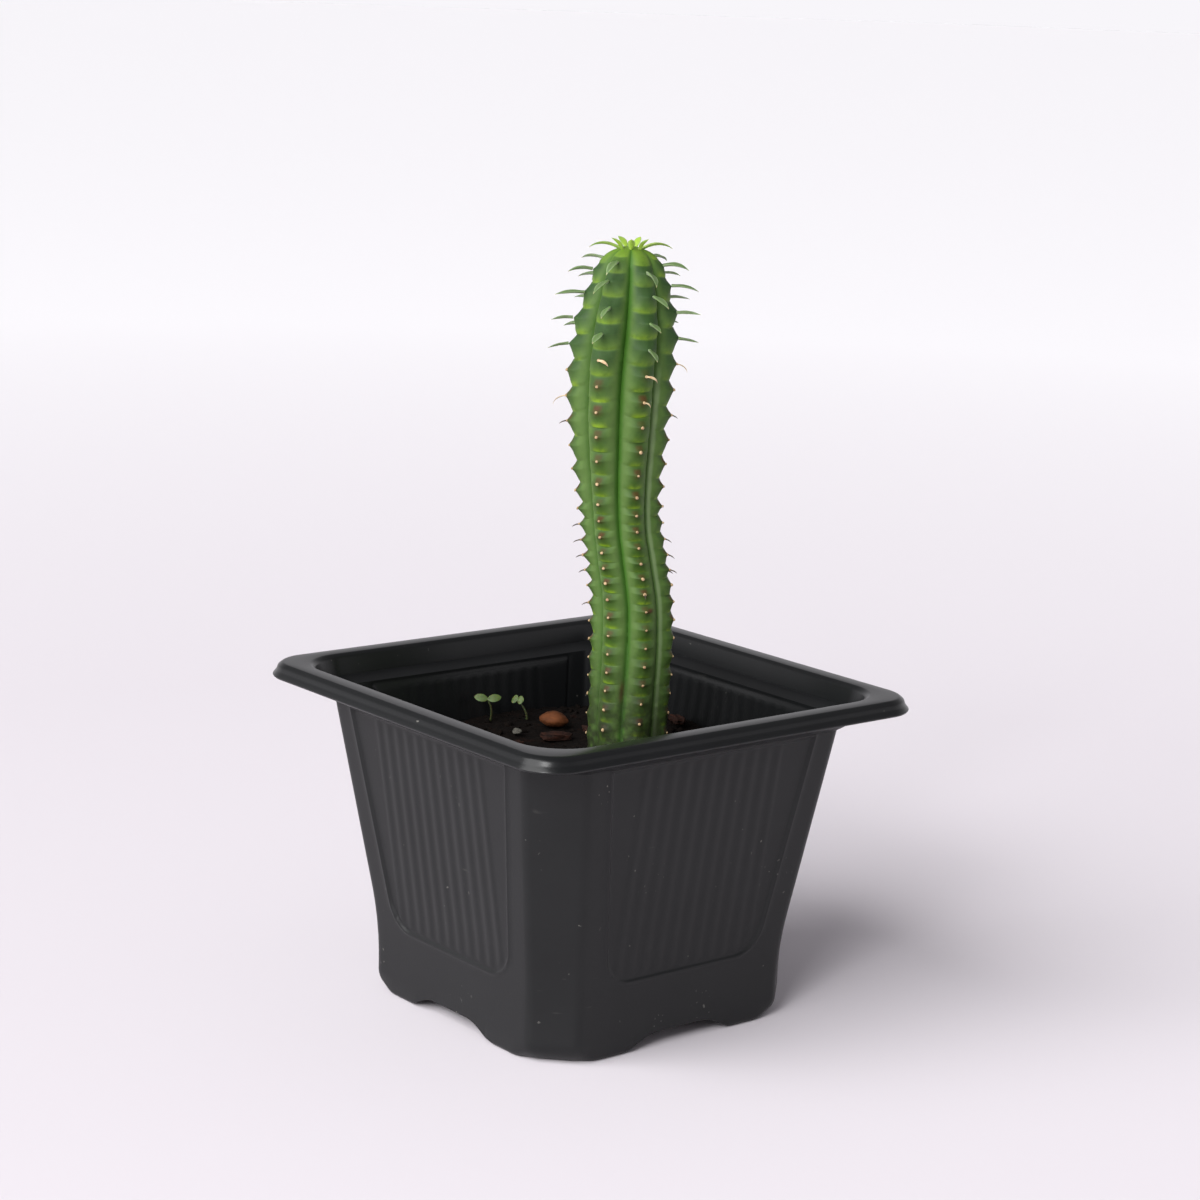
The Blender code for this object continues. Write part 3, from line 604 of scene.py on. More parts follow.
def blade(length, width, thickness, droop, fold=0.35, outline=LANCE, around=12):
    """A leaf from the origin along +X, folded along its middle and hanging in an arc. Returns its points,
    its faces, and for each point its share of the length, upper side and closeness to the edge."""
    steps = np.linspace(0, 1, BLADE_STATIONS)
    along = np.repeat(steps, around)
    turn = np.tile(all_round(around), BLADE_STATIONS)
    across = smooth_value(outline, along) * width / 2 * np.cos(turn)
    thick = smooth_value(((0, 1.3), (0.25, 1.0), (0.7, 0.7), (1, 0.1)), along) * thickness / 2
    lift = thick * np.sin(turn) * (1.15 - 0.45 * np.abs(np.cos(turn))) + fold * np.abs(across)
    bend = droop * (0.35 * along + 0.65 * along ** 2)
    bends = droop * (0.35 * steps + 0.65 * steps ** 2)
    middles = (bends[1:] + bends[:-1]) / 2
    run = length / (BLADE_STATIONS - 1)
    x = np.concatenate(((0,), np.cumsum(run * np.cos(middles))))
    z = np.concatenate(((0,), -np.cumsum(run * np.sin(middles))))
    points = np.column_stack((np.repeat(x, around) + lift * np.sin(bend), across,
                              np.repeat(z, around) + lift * np.cos(bend)))
    upper, edge = 0.5 + 0.5 * np.sin(turn), np.abs(np.cos(turn)) ** 3
    return points, tube_faces(BLADE_STATIONS, around), along, upper, edge


def ball(columns, rows):
    """Points and faces of a unit ball with a small flat at each pole."""
    tilt = np.radians(np.linspace(-86, 86, rows))
    turn = all_round(columns)
    flat = np.column_stack((np.cos(turn), np.sin(turn)))
    points = np.vstack([np.column_stack((flat * math.cos(t), np.full(columns, math.sin(t)))) for t in tilt])
    return points, tube_faces(rows, columns)


def worn(points, seed, amount, coarse=1.2, fine=3.5):
    """Unit ball's points pushed in and out by two sizes of noise."""
    shift = Vector((seed * 7.31, seed * 3.17, seed * 1.73))
    grown = []
    for p in points:
        spot = Vector(p)
        push = noise.noise(spot * coarse + shift) + 0.35 * noise.noise(spot * fine + shift)
        grown.append(p * (1 + amount * push))
    return np.array(grown)


def tube(path, radius, around=8):
    """A round stalk or fibre along a path, whose radius may change on the way."""
    path = np.asarray(path, float)
    radii = np.broadcast_to(radius, len(path))
    ahead = np.gradient(path, axis=0)
    ahead /= np.linalg.norm(ahead, axis=1)[:, None]
    aside = np.cross(ahead, (0.31, 0.17, 0.94) if abs(ahead[0][2]) < 0.9 else (1.0, 0.2, 0.0))
    aside /= np.linalg.norm(aside, axis=1)[:, None]
    other = np.cross(ahead, aside)
    turn = all_round(around)
    ring = np.cos(turn)[None, :, None] * aside[:, None] + np.sin(turn)[None, :, None] * other[:, None]
    points = path[:, None] + ring * radii[:, None, None]
    return points.reshape(-1, 3), tube_faces(len(path), around)


# ---- Stem ----

RIB_COLUMNS = 24
# Heights of the rows through one pitch, in pitches above a tooth's tip: close together round the tip
# and where each plate's lower lip hangs over the notch
PITCH_ROWS = (0.0, 0.04, 0.09, 0.15, 0.21, 0.27, 0.31, 0.34, 0.365, 0.39, 0.42, 0.47, 0.54, 0.62, 0.7, 0.78,
              0.86, 0.93, 0.97)
NOTCH = 1 - NOTCH_LAG         # height of the notch above the tip below it, in pitches
CHIN = 0.12                   # how far a tooth's line climbs from the crest to the valleys, in pitches
BURIED_TOP = 45.0             # height of the buried foot's top, below the lowest level
BURIED_PITCH = 4.05           # millimetres to one level of the buried foot
FULLNESS = ((33, 1.5), (90, 1.5), (125, 1.65), (166, 1.8))    # how squarely a rib bulges, by height
# Old scratches in the skin: place in ribs, height, half width in ribs, half height, and how dark
SCRATCHES = ((0.13, 87.9, 0.12, 0.5, 1.0), (6.42, 69.7, 0.06, 2.2, 0.8))


def stem_middle(height):
    """Where the stem's middle is at a height, or at an array of them."""
    across = math.radians(FACING + 90)
    sway = smooth_value(SWAY, height)
    return STEM_X + sway * math.cos(across), STEM_Y + sway * math.sin(across)


def rib_direction(rib, height):
    """Which way a rib, or a place between two ribs, looks at a height, in radians."""
    return np.radians(FACING + smooth_value(TWIST, height) + RIB_ANGLE * (np.asarray(rib) + 0.5))


def on_stem(direction, height, radius):
    """Points at a distance from the stem's middle."""
    x, y = stem_middle(height)
    return np.stack(np.broadcast_arrays(x + np.cos(direction) * radius, y + np.sin(direction) * radius,
                                        height), axis=-1)


def rib_phase(rib):
    """How far a rib's teeth are raised, in pitches."""
    return np.take(RIB_PHASES, np.asarray(rib) % RIBS)


def teeth():
    """Height and rib of every tooth, from the lowest."""
    return sorted((float(smooth_value(TOOTH_LEVEL, level + rib_phase(rib))), rib)
                  for rib in range(RIBS) for level in range(FIRST_TOOTH, LAST_TOOTH))


def tooth_change(rib, level, seed):
    """A steady number from -1 to 1 for one tooth."""
    return 2 * ((np.sin(rib * 12.9898 + level * 78.233 + seed * 37.719) * 43758.5453) % 1.0) - 1


def stem_rows():
    """Each row's level, how much of the ribs' phase it takes, and its share of the way to the top."""
    rows = [(FIRST_TOOTH - 3 - (BURIED_TOP - z) / BURIED_PITCH, 0.0, 0.0)
            for z in (STEM_FOOT, 35.0, 38.0, 41.0, 44.0)]
    for level in np.arange(FIRST_TOOTH - 2.7, FIRST_TOOTH, 0.15):
        rows.append((level, float(smoothstep(FIRST_TOOTH - 2.2, FIRST_TOOTH - 0.2, level)), 0.0))
    rows += [(level + f, 1.0, 0.0) for level in range(FIRST_TOOTH, LAST_TOOTH) for f in PITCH_ROWS
             if level + f < LAST_TOOTH - 0.5]
    for rise in (0.12, 0.24, 0.36, 0.48, 0.6, 0.71, 0.81, 0.9, 0.96, 1.0):
        rows.append((LAST_TOOTH - 0.5, 1.0, rise))
    return np.array(rows).T


def stem_grid():
    """Where every point of the skin is, as arrays: its rib and share of the way to the next one, its
    height, and its place on its tooth, in pitches above the tip below it."""
    level, share, rise = (v[:, None] for v in stem_rows())
    column = np.arange(RIBS * RIB_COLUMNS)[None, :]
    rib, part = column // RIB_COLUMNS, column % RIB_COLUMNS / RIB_COLUMNS
    nearest = np.where(part <= 0.5, rib, rib + 1)
    out = np.where(part <= 0.5, 2 * part, 2 - 2 * part)    # 0 on the crest, 1 in the valley
    own = rib_phase(nearest) + CHIN * out ** 2
    meet = (rib_phase(rib) + rib_phase(rib + 1)) / 2 + CHIN
    place = level + share * (own + smoothstep(0.82, 1.0, out) * (meet - own))
    buried = BURIED_TOP + (level - FIRST_TOOTH + 3) * BURIED_PITCH + 0 * out
    height = np.where(level < FIRST_TOOTH - 3, buried, smooth_value(TOOTH_LEVEL, place))
    height = height + rise * (STEM_TIP + 0.5 - height)
    above = (place - own) % 1.0
    tooth = np.floor(place - own).astype(int) + (above >= NOTCH)
    return SimpleNamespace(rib=rib, part=part, out=out, nearest=nearest % RIBS, tooth=tooth, height=height,
                           above=above, tip_gap=np.minimum(above, 1 - above),
                           fade=1 - smoothstep(0.88, 1.0, rise))


def stem_radius(grid, stem):
    """How far each point of the skin is from the stem's middle: ribs, notches, plates and tooth tips."""
    out, above, height = grid.out, grid.above, grid.height
    reach = smooth_value(TOOTH_RADIUS, height)
    valley = reach * smooth_value(VALLEY_SHARE, height)
    radius = valley + (reach - valley) * (1 - out ** smooth_value(FULLNESS, height))
    # The notches, each a little deeper or shallower than the next
    jut = np.where(above < NOTCH, 1 - above / NOTCH, (above - NOTCH) / NOTCH_LAG)    # 1 at the tip
    crest = 1 - smoothstep(0.0, 0.88, out)
    notch = smooth_value(TOOTH_HEIGHT, height) * grid.fade
    radius = radius - notch * (1 - jut) * crest * (1 + 0.25 * tooth_change(grid.nearest, grid.tooth, 1))
    # The plate between two notches leans out towards its lower lip on the rib's flanks.
    drop = (NOTCH + 0.055 - above) % 1.0
    lean = np.where(drop < 0.945, (drop / 0.945) ** 1.5, 1 - smoothstep(0.945, 1.0, drop))
    flank = smoothstep(0.0, 0.4, out) * (1 - smoothstep(0.72, 0.97, out))
    radius = radius + 0.14 * notch * flank * (lean - 0.4) * smoothstep(90, 147, height)
    point = np.exp(-(out / 0.18) ** 2) * np.exp(-(grid.tip_gap / 0.12) ** 2)
    return radius + stem.tip_reach / MM * point * smoothstep(50, 62, height) * grid.fade


def skin_values(grid):
    """What each point's place on its tooth gives the colour, as shares from 0 to 1."""
    out, above, height = grid.out, grid.above, grid.height
    strength = 0.65 + 0.35 * tooth_change(grid.nearest, grid.tooth, 2)
    wide = smoothstep(128, 147, height)                    # plates span the whole rib near the top
    on_plate = 1 - smoothstep(0.15 + 0.35 * wide, 0.55 + 0.32 * wide, out)
    crescent = np.where(above > NOTCH + 0.04, 0.13 + 0.03 * wide, 0.03)
    ring = np.exp(-(out / 0.19) ** 2 - (grid.tip_gap / 0.16) ** 2)
    patch = np.exp(-((above - 0.15) / 0.12) ** 4 - (out / 0.2) ** 4)
    old = 1 - smoothstep(132, 144, height)
    turn = grid.rib + grid.part
    scratch = sum(dark * np.exp(-((turn - place) / breadth) ** 2 - ((height - at) / tall) ** 4)
                  for place, at, breadth, tall, dark in SCRATCHES)
    right_face = (grid.rib == 0) & (grid.part > 0.5)
    # A painted highlight: a pale line just past the valley on the right of rib 0.
    painted_groove_highlight = np.where(right_face, np.exp(-((grid.part - 0.6) / 0.04) ** 2), 0)
    return {
        "lip": np.exp(-((above - NOTCH - 0.04) / crescent) ** 2) * on_plate * strength * (0.88 - 0.26 * wide),
        "shade": smoothstep(0.55, 1.0, above) * on_plate * (0.5 + 0.5 * wide),
        # Ledge: the skin's own darker green between tip and notch, with a painted shadow under the plate's
        # lip above it.
        "ledge": smoothstep(NOTCH + 0.01, NOTCH - 0.06, above) * on_plate * (0.55 + 0.45 * wide),
        "scorch": np.maximum(np.maximum(0.8 * ring, patch) * strength * old, scratch),
        # Valley: the grooves' own deeper green with painted shade added, full in the groove between the two
        # front ribs.
        "valley": smoothstep(0.7, 0.97, out) * np.where(grid.rib == RIBS - 1, 1.0, 0.3),
        "bloom": (smoothstep(0.15, 0.6, out) * (1 - smoothstep(0.8, 0.97, out))
                  * np.where(right_face, 0.3, 1 - 0.4 * wide)),
        "painted_groove_highlight": painted_groove_highlight * smoothstep(143, 132, height),
        "young": smoothstep(160, 165, height),
        # Worn: real cork at the foot with painted shade from the pot's rim, darker towards the bottom.
        "worn": 1 - smoothstep(54, 84, height),
    }


def stem_skin(stem):
    """Points of the ribbed skin, row by row, and the values that colour it."""
    grid = stem_grid()
    radius = stem_radius(grid, stem)
    direction = rib_direction(grid.rib + grid.part, grid.height)
    shake = [[noise.noise(Vector(p) * 0.16) + 0.4 * noise.noise(Vector(p) * 0.7) for p in row]
             for row in on_stem(direction, grid.height, radius)]
    swell = stem.skin_lump / MM * np.array(shake) * smoothstep(45, 58, grid.height) * grid.fade
    return on_stem(direction, grid.height, radius + swell), skin_values(grid)


def succulent_skin(stem):
    """Waxy living skin: a thin translucent green over watery flesh, paler where a bloom of wax lies,
    yellow-green where each plate's lip has grown last, and scorched brown round the old leaf scars."""
    material, tree, shader = new_material("waxy_succulent_skin", 0.5, IOR=1.34, Subsurface_Weight=0.12,
                                          Subsurface_Radius=(0.5, 1.0, 0.25), Subsurface_Scale=1.2 * MM)
    mottle = speckle(tree, 3.2, 0.3, 0.7)
    colour = coated(tree, stem.skin,
                    (stem.flank, mottle, 0.45),
                    (stem.skin_dark, speckle(tree, 1.3, 0.5, 0.75), 0.35),
                    (stem.flank, "bloom", 0.6),
                    # Painted shade under each tooth and painted shadow under each plate's lip, over the
                    # skin's own darker green.
                    (stem.skin_dark, "shade", 0.65),
                    (stem.skin_dark, "ledge", 0.75),
                    (stem.young, "young", 0.5),
                    # Painted shade in the grooves, over their own deeper green.
                    (stem.valley, "valley", 0.9),
                    # The painted highlight beside one groove.
                    (stem.wax, "painted_groove_highlight", 0.55),
                    (stem.lip, "lip", speckle(tree, 1.6, 0.2, 0.55)),
                    (stem.scorch, "scorch", 0.85),
                    # Cork at the foot, with the pot's painted shade.
                    (stem.cork, "worn", speckle(tree, 2.0, 0.2, 0.55), 0.9))
    rough = add_node(tree, "ShaderNodeMapRange", {"Value": mottle, "To Min": 0.54, "To Max": 0.7})
    tree.links.new(rough.outputs[0], shader.inputs["Roughness"])
    dress(tree, shader, colour, speckle(tree, 0.9, 0.25, 0.75, 6.0), 0.06, 0.6)
    return material


class PLANT_OT_grow_stem(bpy.types.Operator):
    """Grow the seven-ribbed stem, whose toothed plates climb it in a spiral"""
    bl_idname = "plant.grow_stem"
    bl_label = "Grow the stem"

    def execute(self, context):
        stem = context.scene.plant_stem
        points, values = stem_skin(stem)
        rows, columns = points.shape[:2]
        shape = Shape()
        whole = {name: np.broadcast_to(value, (rows, columns)).ravel() for name, value in values.items()}
        shape.add(points, tube_faces(rows, columns), **whole)
        piece = shape.make("stem_skin", succulent_skin(stem), 80)
        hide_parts("stem")
        return {"FINISHED"}


# ---- Leaves, scars and dry remains ----

LEAF_SIZE = ((143, 0.76), (150, 0.84), (156, 1.06), (161, 0.92), (165, 0.85))    # shares of the full length
LEAF_BEND = ((143, 14), (152, 18), (157, 28), (162, 46))    # how far a leaf's tip hangs, in degrees
FRONT_RIBS = (0, RIBS - 1)
FRONT_SAG = 14                # how much lower the leaves of those two ribs hang, in degrees
# What is left of some old leaves: rib, height of the tooth, and kind of remains
REMAINS = (
    (6, 141.3, "curl"), (0, 138.3, "curl"), (0, 132.6, "scrap"), (1, 140.2, "thread"), (5, 133.0, "thread"),
    (5, 127.5, "stub"), (5, 104.5, "stub"), (5, 100.7, "stub"), (5, 97.3, "stub"), (5, 94.0, "stub"),
    (5, 87.1, "stub"), (1, 129.7, "stub"), (1, 103.6, "stub"), (1, 99.7, "stub"), (1, 96.8, "stub"),
    (0, 92.3, "stub"), (2, 136.0, "thread"), (3, 139.0, "curl"), (4, 134.0, "scrap"), (2, 121.0, "stub"),
    (3, 108.0, "stub"), (4, 101.0, "stub"), (2, 95.0, "stub"), (3, 118.0, "scrap"), (4, 118.0, "stub"),
)
REMAINS_REACH = 1.8           # how near a tooth has to be to the height given
# Each kind's length, width, thickness, bend, fold, rise, roll and swing, in millimetres and degrees
KINDS = {
    "curl": (3.2, 0.7, 0.2, 95, 0.4, -8, 40, 62),
    "scrap": (2.0, 0.55, 0.18, 70, 0.5, -10, 20, 55),
    "thread": (3.6, 0.45, 0.2, 75, 0.3, -12, 0, 0),
    "stub": (1.7, 0.34, 0.24, 40, 0.1, -10, 0, 0),
}


def leaf_material(name, leaf, front, back):
    """Living leaf: thin and soft, light passing through it, greyer underneath, with paler edges."""
    material, tree, shader = new_material(name, 0.5, IOR=1.42, Subsurface_Weight=0.25,
                                          Subsurface_Radius=(0.6, 1.0, 0.3), Subsurface_Scale=0.8 * MM)
    tip = add_node(tree, "ShaderNodeMapRange", {"Value": share_of(tree, "along"), "From Min": 0.88})
    colour = coated(tree, back, (front, "upper"), (leaf.back, "edge", 0.5), (leaf.dry, tip.outputs[0], 0.6),
                    (leaf.front, speckle(tree, 1.4, 0.35, 0.7), 0.25))
    dress(tree, shader, colour, speckle(tree, 0.5, 0.3, 0.7, 3.0, (0.4, 1.0, 1.0)), 0.03, 0.5)
    return material


def dead_tissue(name, colour, other):
    """Dead plant tissue: matt and fibrous, its colour drifting over a millimetre or so."""
    material, tree, shader = new_material(name, 0.75)
    blotched = coated(tree, colour, (linear(other), speckle(tree, 1.1, 0.45, 0.75)))
    dress(tree, shader, blotched, speckle(tree, 0.3, 0.3, 0.7, 3.0), 0.04, 0.7)
    return material


def add_blade(shape, root, heading, rise, roll, made):
    """Add a blade to a shape, standing on a root and looking along its heading."""
    points, faces, along, upper, edge = made
    shape.add(turned(points, heading, rise, roll) + root, faces, along=along, upper=upper, edge=edge)


class PLANT_OT_grow_leaves(bpy.types.Operator):
    """Grow a drooping leaf on each of the upper teeth, and the bright whorl round the growing tip"""
    bl_idname = "plant.grow_leaves"
    bl_label = "Grow the leaves"

    def execute(self, context):
        leaf = context.scene.plant_leaf
        dice = random.Random(11)
        shape, names = Shape(), []
        for height, rib in teeth():
            if height <= LEAF_FROM:
                continue
            size = float(smooth_value(LEAF_SIZE, height))
            length = size * leaf.length / MM * dice.uniform(0.94, 1.06)
            width = leaf.width / MM * dice.uniform(0.88, 1.1)
            droop = math.radians(float(smooth_value(LEAF_BEND, height)) + dice.uniform(-8, 8))
            made = blade(length, width, leaf.thickness / MM, droop, dice.uniform(0.2, 0.45))
            heading = float(rib_direction(rib, height)) + math.radians(dice.uniform(-7, 7))
            sag = FRONT_SAG if rib in FRONT_RIBS else 0
            rise = math.radians(float(smooth_value(LEAF_RISE, height)) - sag + dice.uniform(-3, 4))
            root = on_stem(heading, height, float(smooth_value(TOOTH_RADIUS, height)) + 0.15)
            add_blade(shape, root, heading, rise, math.radians(dice.uniform(-24, 24)), made)
            names.append(f"leaf_{len(names) + 1:02d}")
        piece = shape.make("green_leaves", leaf_material("leaf_blade_grown", leaf, leaf.front, leaf.back), 60)
        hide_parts(*names)

        crown, names = Shape(), []
        for n, (length, rise) in enumerate(CROWN):
            heading = float(rib_direction(n + 0.5, CROWN_LEVEL))
            droop = math.radians(66 if length > leaf.length / MM else 32)
            made = blade(length, leaf.width / MM, leaf.thickness / MM, droop)
            root = on_stem(heading, CROWN_LEVEL - 0.4, CROWN_RADIUS - 0.3)
            add_blade(crown, root, heading, math.radians(rise), 0.0, made)
            names.append(f"crown_leaf_{n + 1}")
        material = leaf_material("leaf_blade_young", leaf, leaf.young, leaf.young)
        piece = crown.make("crown_leaves", material, 60)
        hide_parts(*names)
        return {"FINISHED"}


class PLANT_OT_age_teeth(bpy.types.Operator):
    """Leave a pale scar on each old tooth, a curled dry leaf on some and a dark stub on others"""
    bl_idname = "plant.age_teeth"
    bl_label = "Age the teeth"

    def execute(self, context):
        stem, leaf = context.scene.plant_stem, context.scene.plant_leaf
        dice = random.Random(5)
        scars, dry, stubs = Shape(), Shape(), Shape()
        dome, dome_faces = ball(10, 7)
        for height, rib in teeth():
            if height > LEAF_FROM:
                continue
            heading = float(rib_direction(rib, height))
            tip = float(smooth_value(TOOTH_RADIUS, height)) + stem.tip_reach / MM - 0.08
            root = on_stem(heading, height, tip)
            size = dice.uniform(0.26, 0.4)
            button = turned(worn(dome, dice.random() * 9, 0.3) * (0.22, size, size * 0.9), heading, 0.3)
            scars.add(button + root, dome_faces)
            kind = next((k for r, z, k in REMAINS if r == rib and abs(z - height) < REMAINS_REACH), None)
            if kind:
                length, width, thickness, bend, fold, rise, roll, swing = KINDS[kind]
                made = blade(length * dice.uniform(0.85, 1.15), width, thickness, math.radians(bend), fold)
                add_blade(stubs if kind == "stub" else dry, root,
                          heading + math.radians(swing + dice.uniform(-14, 14)),
                          math.radians(rise + dice.uniform(-8, 8)), math.radians(roll), made)

        for shape, name, material in (
                (scars, "leaf_scars", dead_tissue("leaf_scar_cork", stem.scar, "8E6A48")),
                (dry, "dry_leaves", dead_tissue("leaf_blade_withered", leaf.dry, "A4764A")),
                (stubs, "dry_stubs", dead_tissue("leaf_stalk_dried", leaf.spine, "6A5C48"))):
            piece = shape.make(name, material, 60)
        return {"FINISHED"}


# ---- Potting mix and what lies on it ----

# Stones and chips: name, place on the mix, half sizes, and turn in degrees
LITTER = (
    ("orange_stone", (-25.0, 10.6), (3.5, 2.7, 1.8), 20),
    ("pale_stone", (-23.2, -1.0), (1.2, 1.0, 0.7), 0),
    ("bark_chip_1", (-16.2, 4.6), (3.6, 1.6, 0.8), 62),
    ("bark_chip_2", (-15.0, 14.2), (3.0, 1.4, 0.7), 15),
    ("bark_chip_3", (-10.6, 35.0), (3.0, 1.5, 0.8), -20),
    ("bark_chip_4", (-14.5, -8.5), (2.6, 1.5, 0.7), 100),
    ("bark_chip_5", (17.0, -12.0), (3.4, 1.6, 0.8), 35),
    ("bark_chip_6", (22.0, 16.0), (2.8, 1.7, 0.7), -50),
)
# Seedlings: name, foot, top of the stalk, half sizes of a seed leaf, its stand-off, and the pair's heading
SEEDLINGS = (
    ("seedling_left", (-35.2, 0.4), (-35.6, -0.2, 59.6), (1.75, 0.8, 0.35), 1.35, 51),
    ("seedling_right", (-32.7, 9.0), (-34.6, 7.6, 58.6), (0.95, 0.9, 0.4), 0.62, 20),
)
STALK_RADIUS = 0.35
LEAF_ROLL = 55                # how far the seed leaves turn their faces to the light, in degrees
MIX_COLUMNS = 480
MIX_RINGS = 84
MIX_SINK = 0.25               # how far the crumbs' hollows lie below the mix's even surface
LOOSE_CRUMBS = 420
LOOSE_CLEAR = 1.6             # how far the loose crumbs stay from the wall


def soil_height(x, y):
    """Gentle swell of the mix's surface, which its crumbs stand on."""
    swell = np.sin(x / 7.5 + 0.6) * np.cos(y / 9 - 0.4) + 0.4 * np.sin((x - y) / 5)
    return SOIL_TOP + SOIL_SWELL * swell


def rest_height(x, y, reach):
    """Highest point of the mix under a small piece."""
    turn = np.radians(np.arange(0, 360, 30))
    around = soil_height(x + reach * np.cos(turn), y + reach * np.sin(turn))
    return float(max(soil_height(x, y), around.max()))


def wall_reach(direction, height, inset):
    """How far the inside of the wall, moved in by an inset, is from the stem's foot in a direction."""
    half = wall_half(height) - inset
    cut = CORNER_CUT * wall_half(height) - (2 - math.sqrt(2)) * inset
    eighth = math.radians(22.5)
    crease = (math.cos(eighth) * (half - CREASE_RADIUS) + CREASE_RADIUS
              + math.sin(eighth) * (half - cut - math.tan(eighth) * CREASE_RADIUS))
    chamfer = (2 * half - cut) / math.sqrt(2)
    limit = np.full(len(direction), np.inf)
    for quarter in range(4):
        for tilt, far in ((0.0, half), (22.5, crease), (45.0, chamfer), (67.5, crease)):
            turn = math.radians(tilt + 90 * quarter)
            gap = far - STEM_X * math.cos(turn) - STEM_Y * math.sin(turn)
            facing = np.cos(direction - turn)
            limit = np.minimum(limit, np.where(facing > 1e-6, gap / np.maximum(facing, 1e-6), np.inf))
    return limit


def crumbs(x, y, mix):
    """Height of the crumbs at a place: rounded lumps of two sizes, some much taller than others."""
    size = mix.crumb / MM
    height = 0.0
    for scale, share in ((size, 1.0), (0.45 * size, 0.45)):
        gaps, centres = noise.voronoi(Vector((x / scale, y / scale, share)), distance_metric="DISTANCE")
        tall = 0.35 + 0.65 * (math.sin(centres[0].x * 91.7 + centres[0].y * 57.3) * 0.5 + 0.5)
        height += share * tall * max(0.0, 1 - 1.3 * gaps[0] ** 2)
    return mix.crumb_height / MM * height + 0.12 * noise.noise(Vector((x * 2.4, y * 2.4, 3.0)))


def mix_ring(reach, height):
    """A ring of points round the stem's foot, at a distance that may change on the way round."""
    direction = all_round(MIX_COLUMNS)
    return np.column_stack((STEM_X + reach * np.cos(direction), STEM_Y + reach * np.sin(direction),
                            np.broadcast_to(height, MIX_COLUMNS)))


def mix_bed(mix, inset, socket):
    """The bed of mix, from its underside up the wall, over the crumbs and down the stem's socket."""
    direction = all_round(MIX_COLUMNS)
    bottom = wall_reach(direction, FLOOR_TOP, inset + FLOOR_FILLET)
    rings = [mix_ring(0.02 * bottom, FLOOR_TOP + GAP), mix_ring(bottom, FLOOR_TOP + GAP)]
    for z in (BEND_LOW + GAP, 12.0, 18.0, BEND_HIGH, 40.0, SOIL_TOP - 2.0):
        rings.append(mix_ring(wall_reach(direction, z, inset), z))
    below = len(rings)
    edge = wall_reach(direction, SOIL_TOP, inset)
    dryness = []
    for share in np.linspace(1, 0, MIX_RINGS):
        ring = mix_ring(socket + share * (edge - socket), 0.0)
        lumps = np.array([crumbs(x, y, mix) for x, y, _ in ring])
        ring[:, 2] = soil_height(ring[:, 0], ring[:, 1]) + lumps - MIX_SINK
        rings.append(ring)
        dryness.append(np.clip(lumps / (1.4 * mix.crumb_height / MM), 0, 1))
    for reach, z in ((socket, SOIL_TOP - 4), (socket, STEM_FOOT - GAP), (0.05, STEM_FOOT - GAP)):
        rings.append(mix_ring(reach, z))
    dry = np.zeros((len(rings), MIX_COLUMNS))
    dry[below:below + MIX_RINGS] = dryness
    shape = Shape()
    shape.add(np.vstack(rings), tube_faces(len(rings), MIX_COLUMNS), dryness=dry.ravel())
    return shape


def loose_crumbs(mix, inset, socket):
    """Crumbs and bits of fibre half sunk in the bed, clear of the stem and of what lies on the mix."""
    dice = random.Random(23)
    loose = Shape()
    grain, grain_faces = ball(9, 7)
    taken = [(x, y, half[0] + 0.6) for _, (x, y), half, _ in LITTER] + [(STEM_X, STEM_Y, socket + 0.8)]
    limits = wall_reach(all_round(MIX_COLUMNS), SOIL_TOP, inset) - LOOSE_CLEAR
    placed = 0
    while placed < LOOSE_CRUMBS:
        turn = dice.uniform(0, 2 * math.pi)
        limit = limits[int(turn / (2 * math.pi) * MIX_COLUMNS)]
        far = socket + (limit - socket) * math.sqrt(dice.random())
        x, y = STEM_X + far * math.cos(turn), STEM_Y + far * math.sin(turn)
        if any(math.hypot(x - a, y - b) < reach for a, b, reach in taken):
            continue
        size = 0.35 + 1.0 * dice.random() ** 2.2
        half = size, size * dice.uniform(0.5, 0.9), size * dice.uniform(0.35, 0.7)
        lift = float(soil_height(x, y)) + crumbs(x, y, mix) - MIX_SINK + 0.15 * size
        lump = turned(worn(grain, placed * 0.37, 0.45) * half,
                      dice.uniform(0, 6.28), dice.uniform(-0.5, 0.5), dice.uniform(-0.5, 0.5))
        loose.add(lump + (x, y, lift), grain_faces, dryness=dice.uniform(0.2, 1.0))
        placed += 1
    return loose


def damp_mix(mix):
    """Damp peat-and-bark potting mix: almost black crumbs, the tallest of them dried to brown, matt
    with a little gleam where they are wet."""
    material, tree, shader = new_material("damp_peat_mix", 0.9, IOR=1.2)
    colour = coated(tree, mix.peat, (mix.peat_dry, "dryness", speckle(tree, 1.2, 0.35, 0.7)),
                    (mix.bark, speckle(tree, 2.6, 0.6, 0.68), 0.6))
    dress(tree, shader, colour, speckle(tree, 0.5, 0.25, 0.75, 6.0), 0.12, 0.8)
    return material


class PLANT_OT_fill_mix(bpy.types.Operator):
    """Fill the pot with crumbly potting mix, with a socket where the stem goes in"""
    bl_idname = "plant.fill_mix"
    bl_label = "Fill the mix"

    def execute(self, context):
        mix = context.scene.plant_mix
        inset = context.scene.plant_pot.wall / MM + GAP
        socket = float(smooth_value(TOOTH_RADIUS, SOIL_TOP)) + GAP
        material = damp_mix(mix)
        piece = mix_bed(mix, inset, socket).make("mix_bed", material, 70)
        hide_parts("soil")
        piece = loose_crumbs(mix, inset, socket).make("loose_crumbs", material, 60)
        return {"FINISHED"}


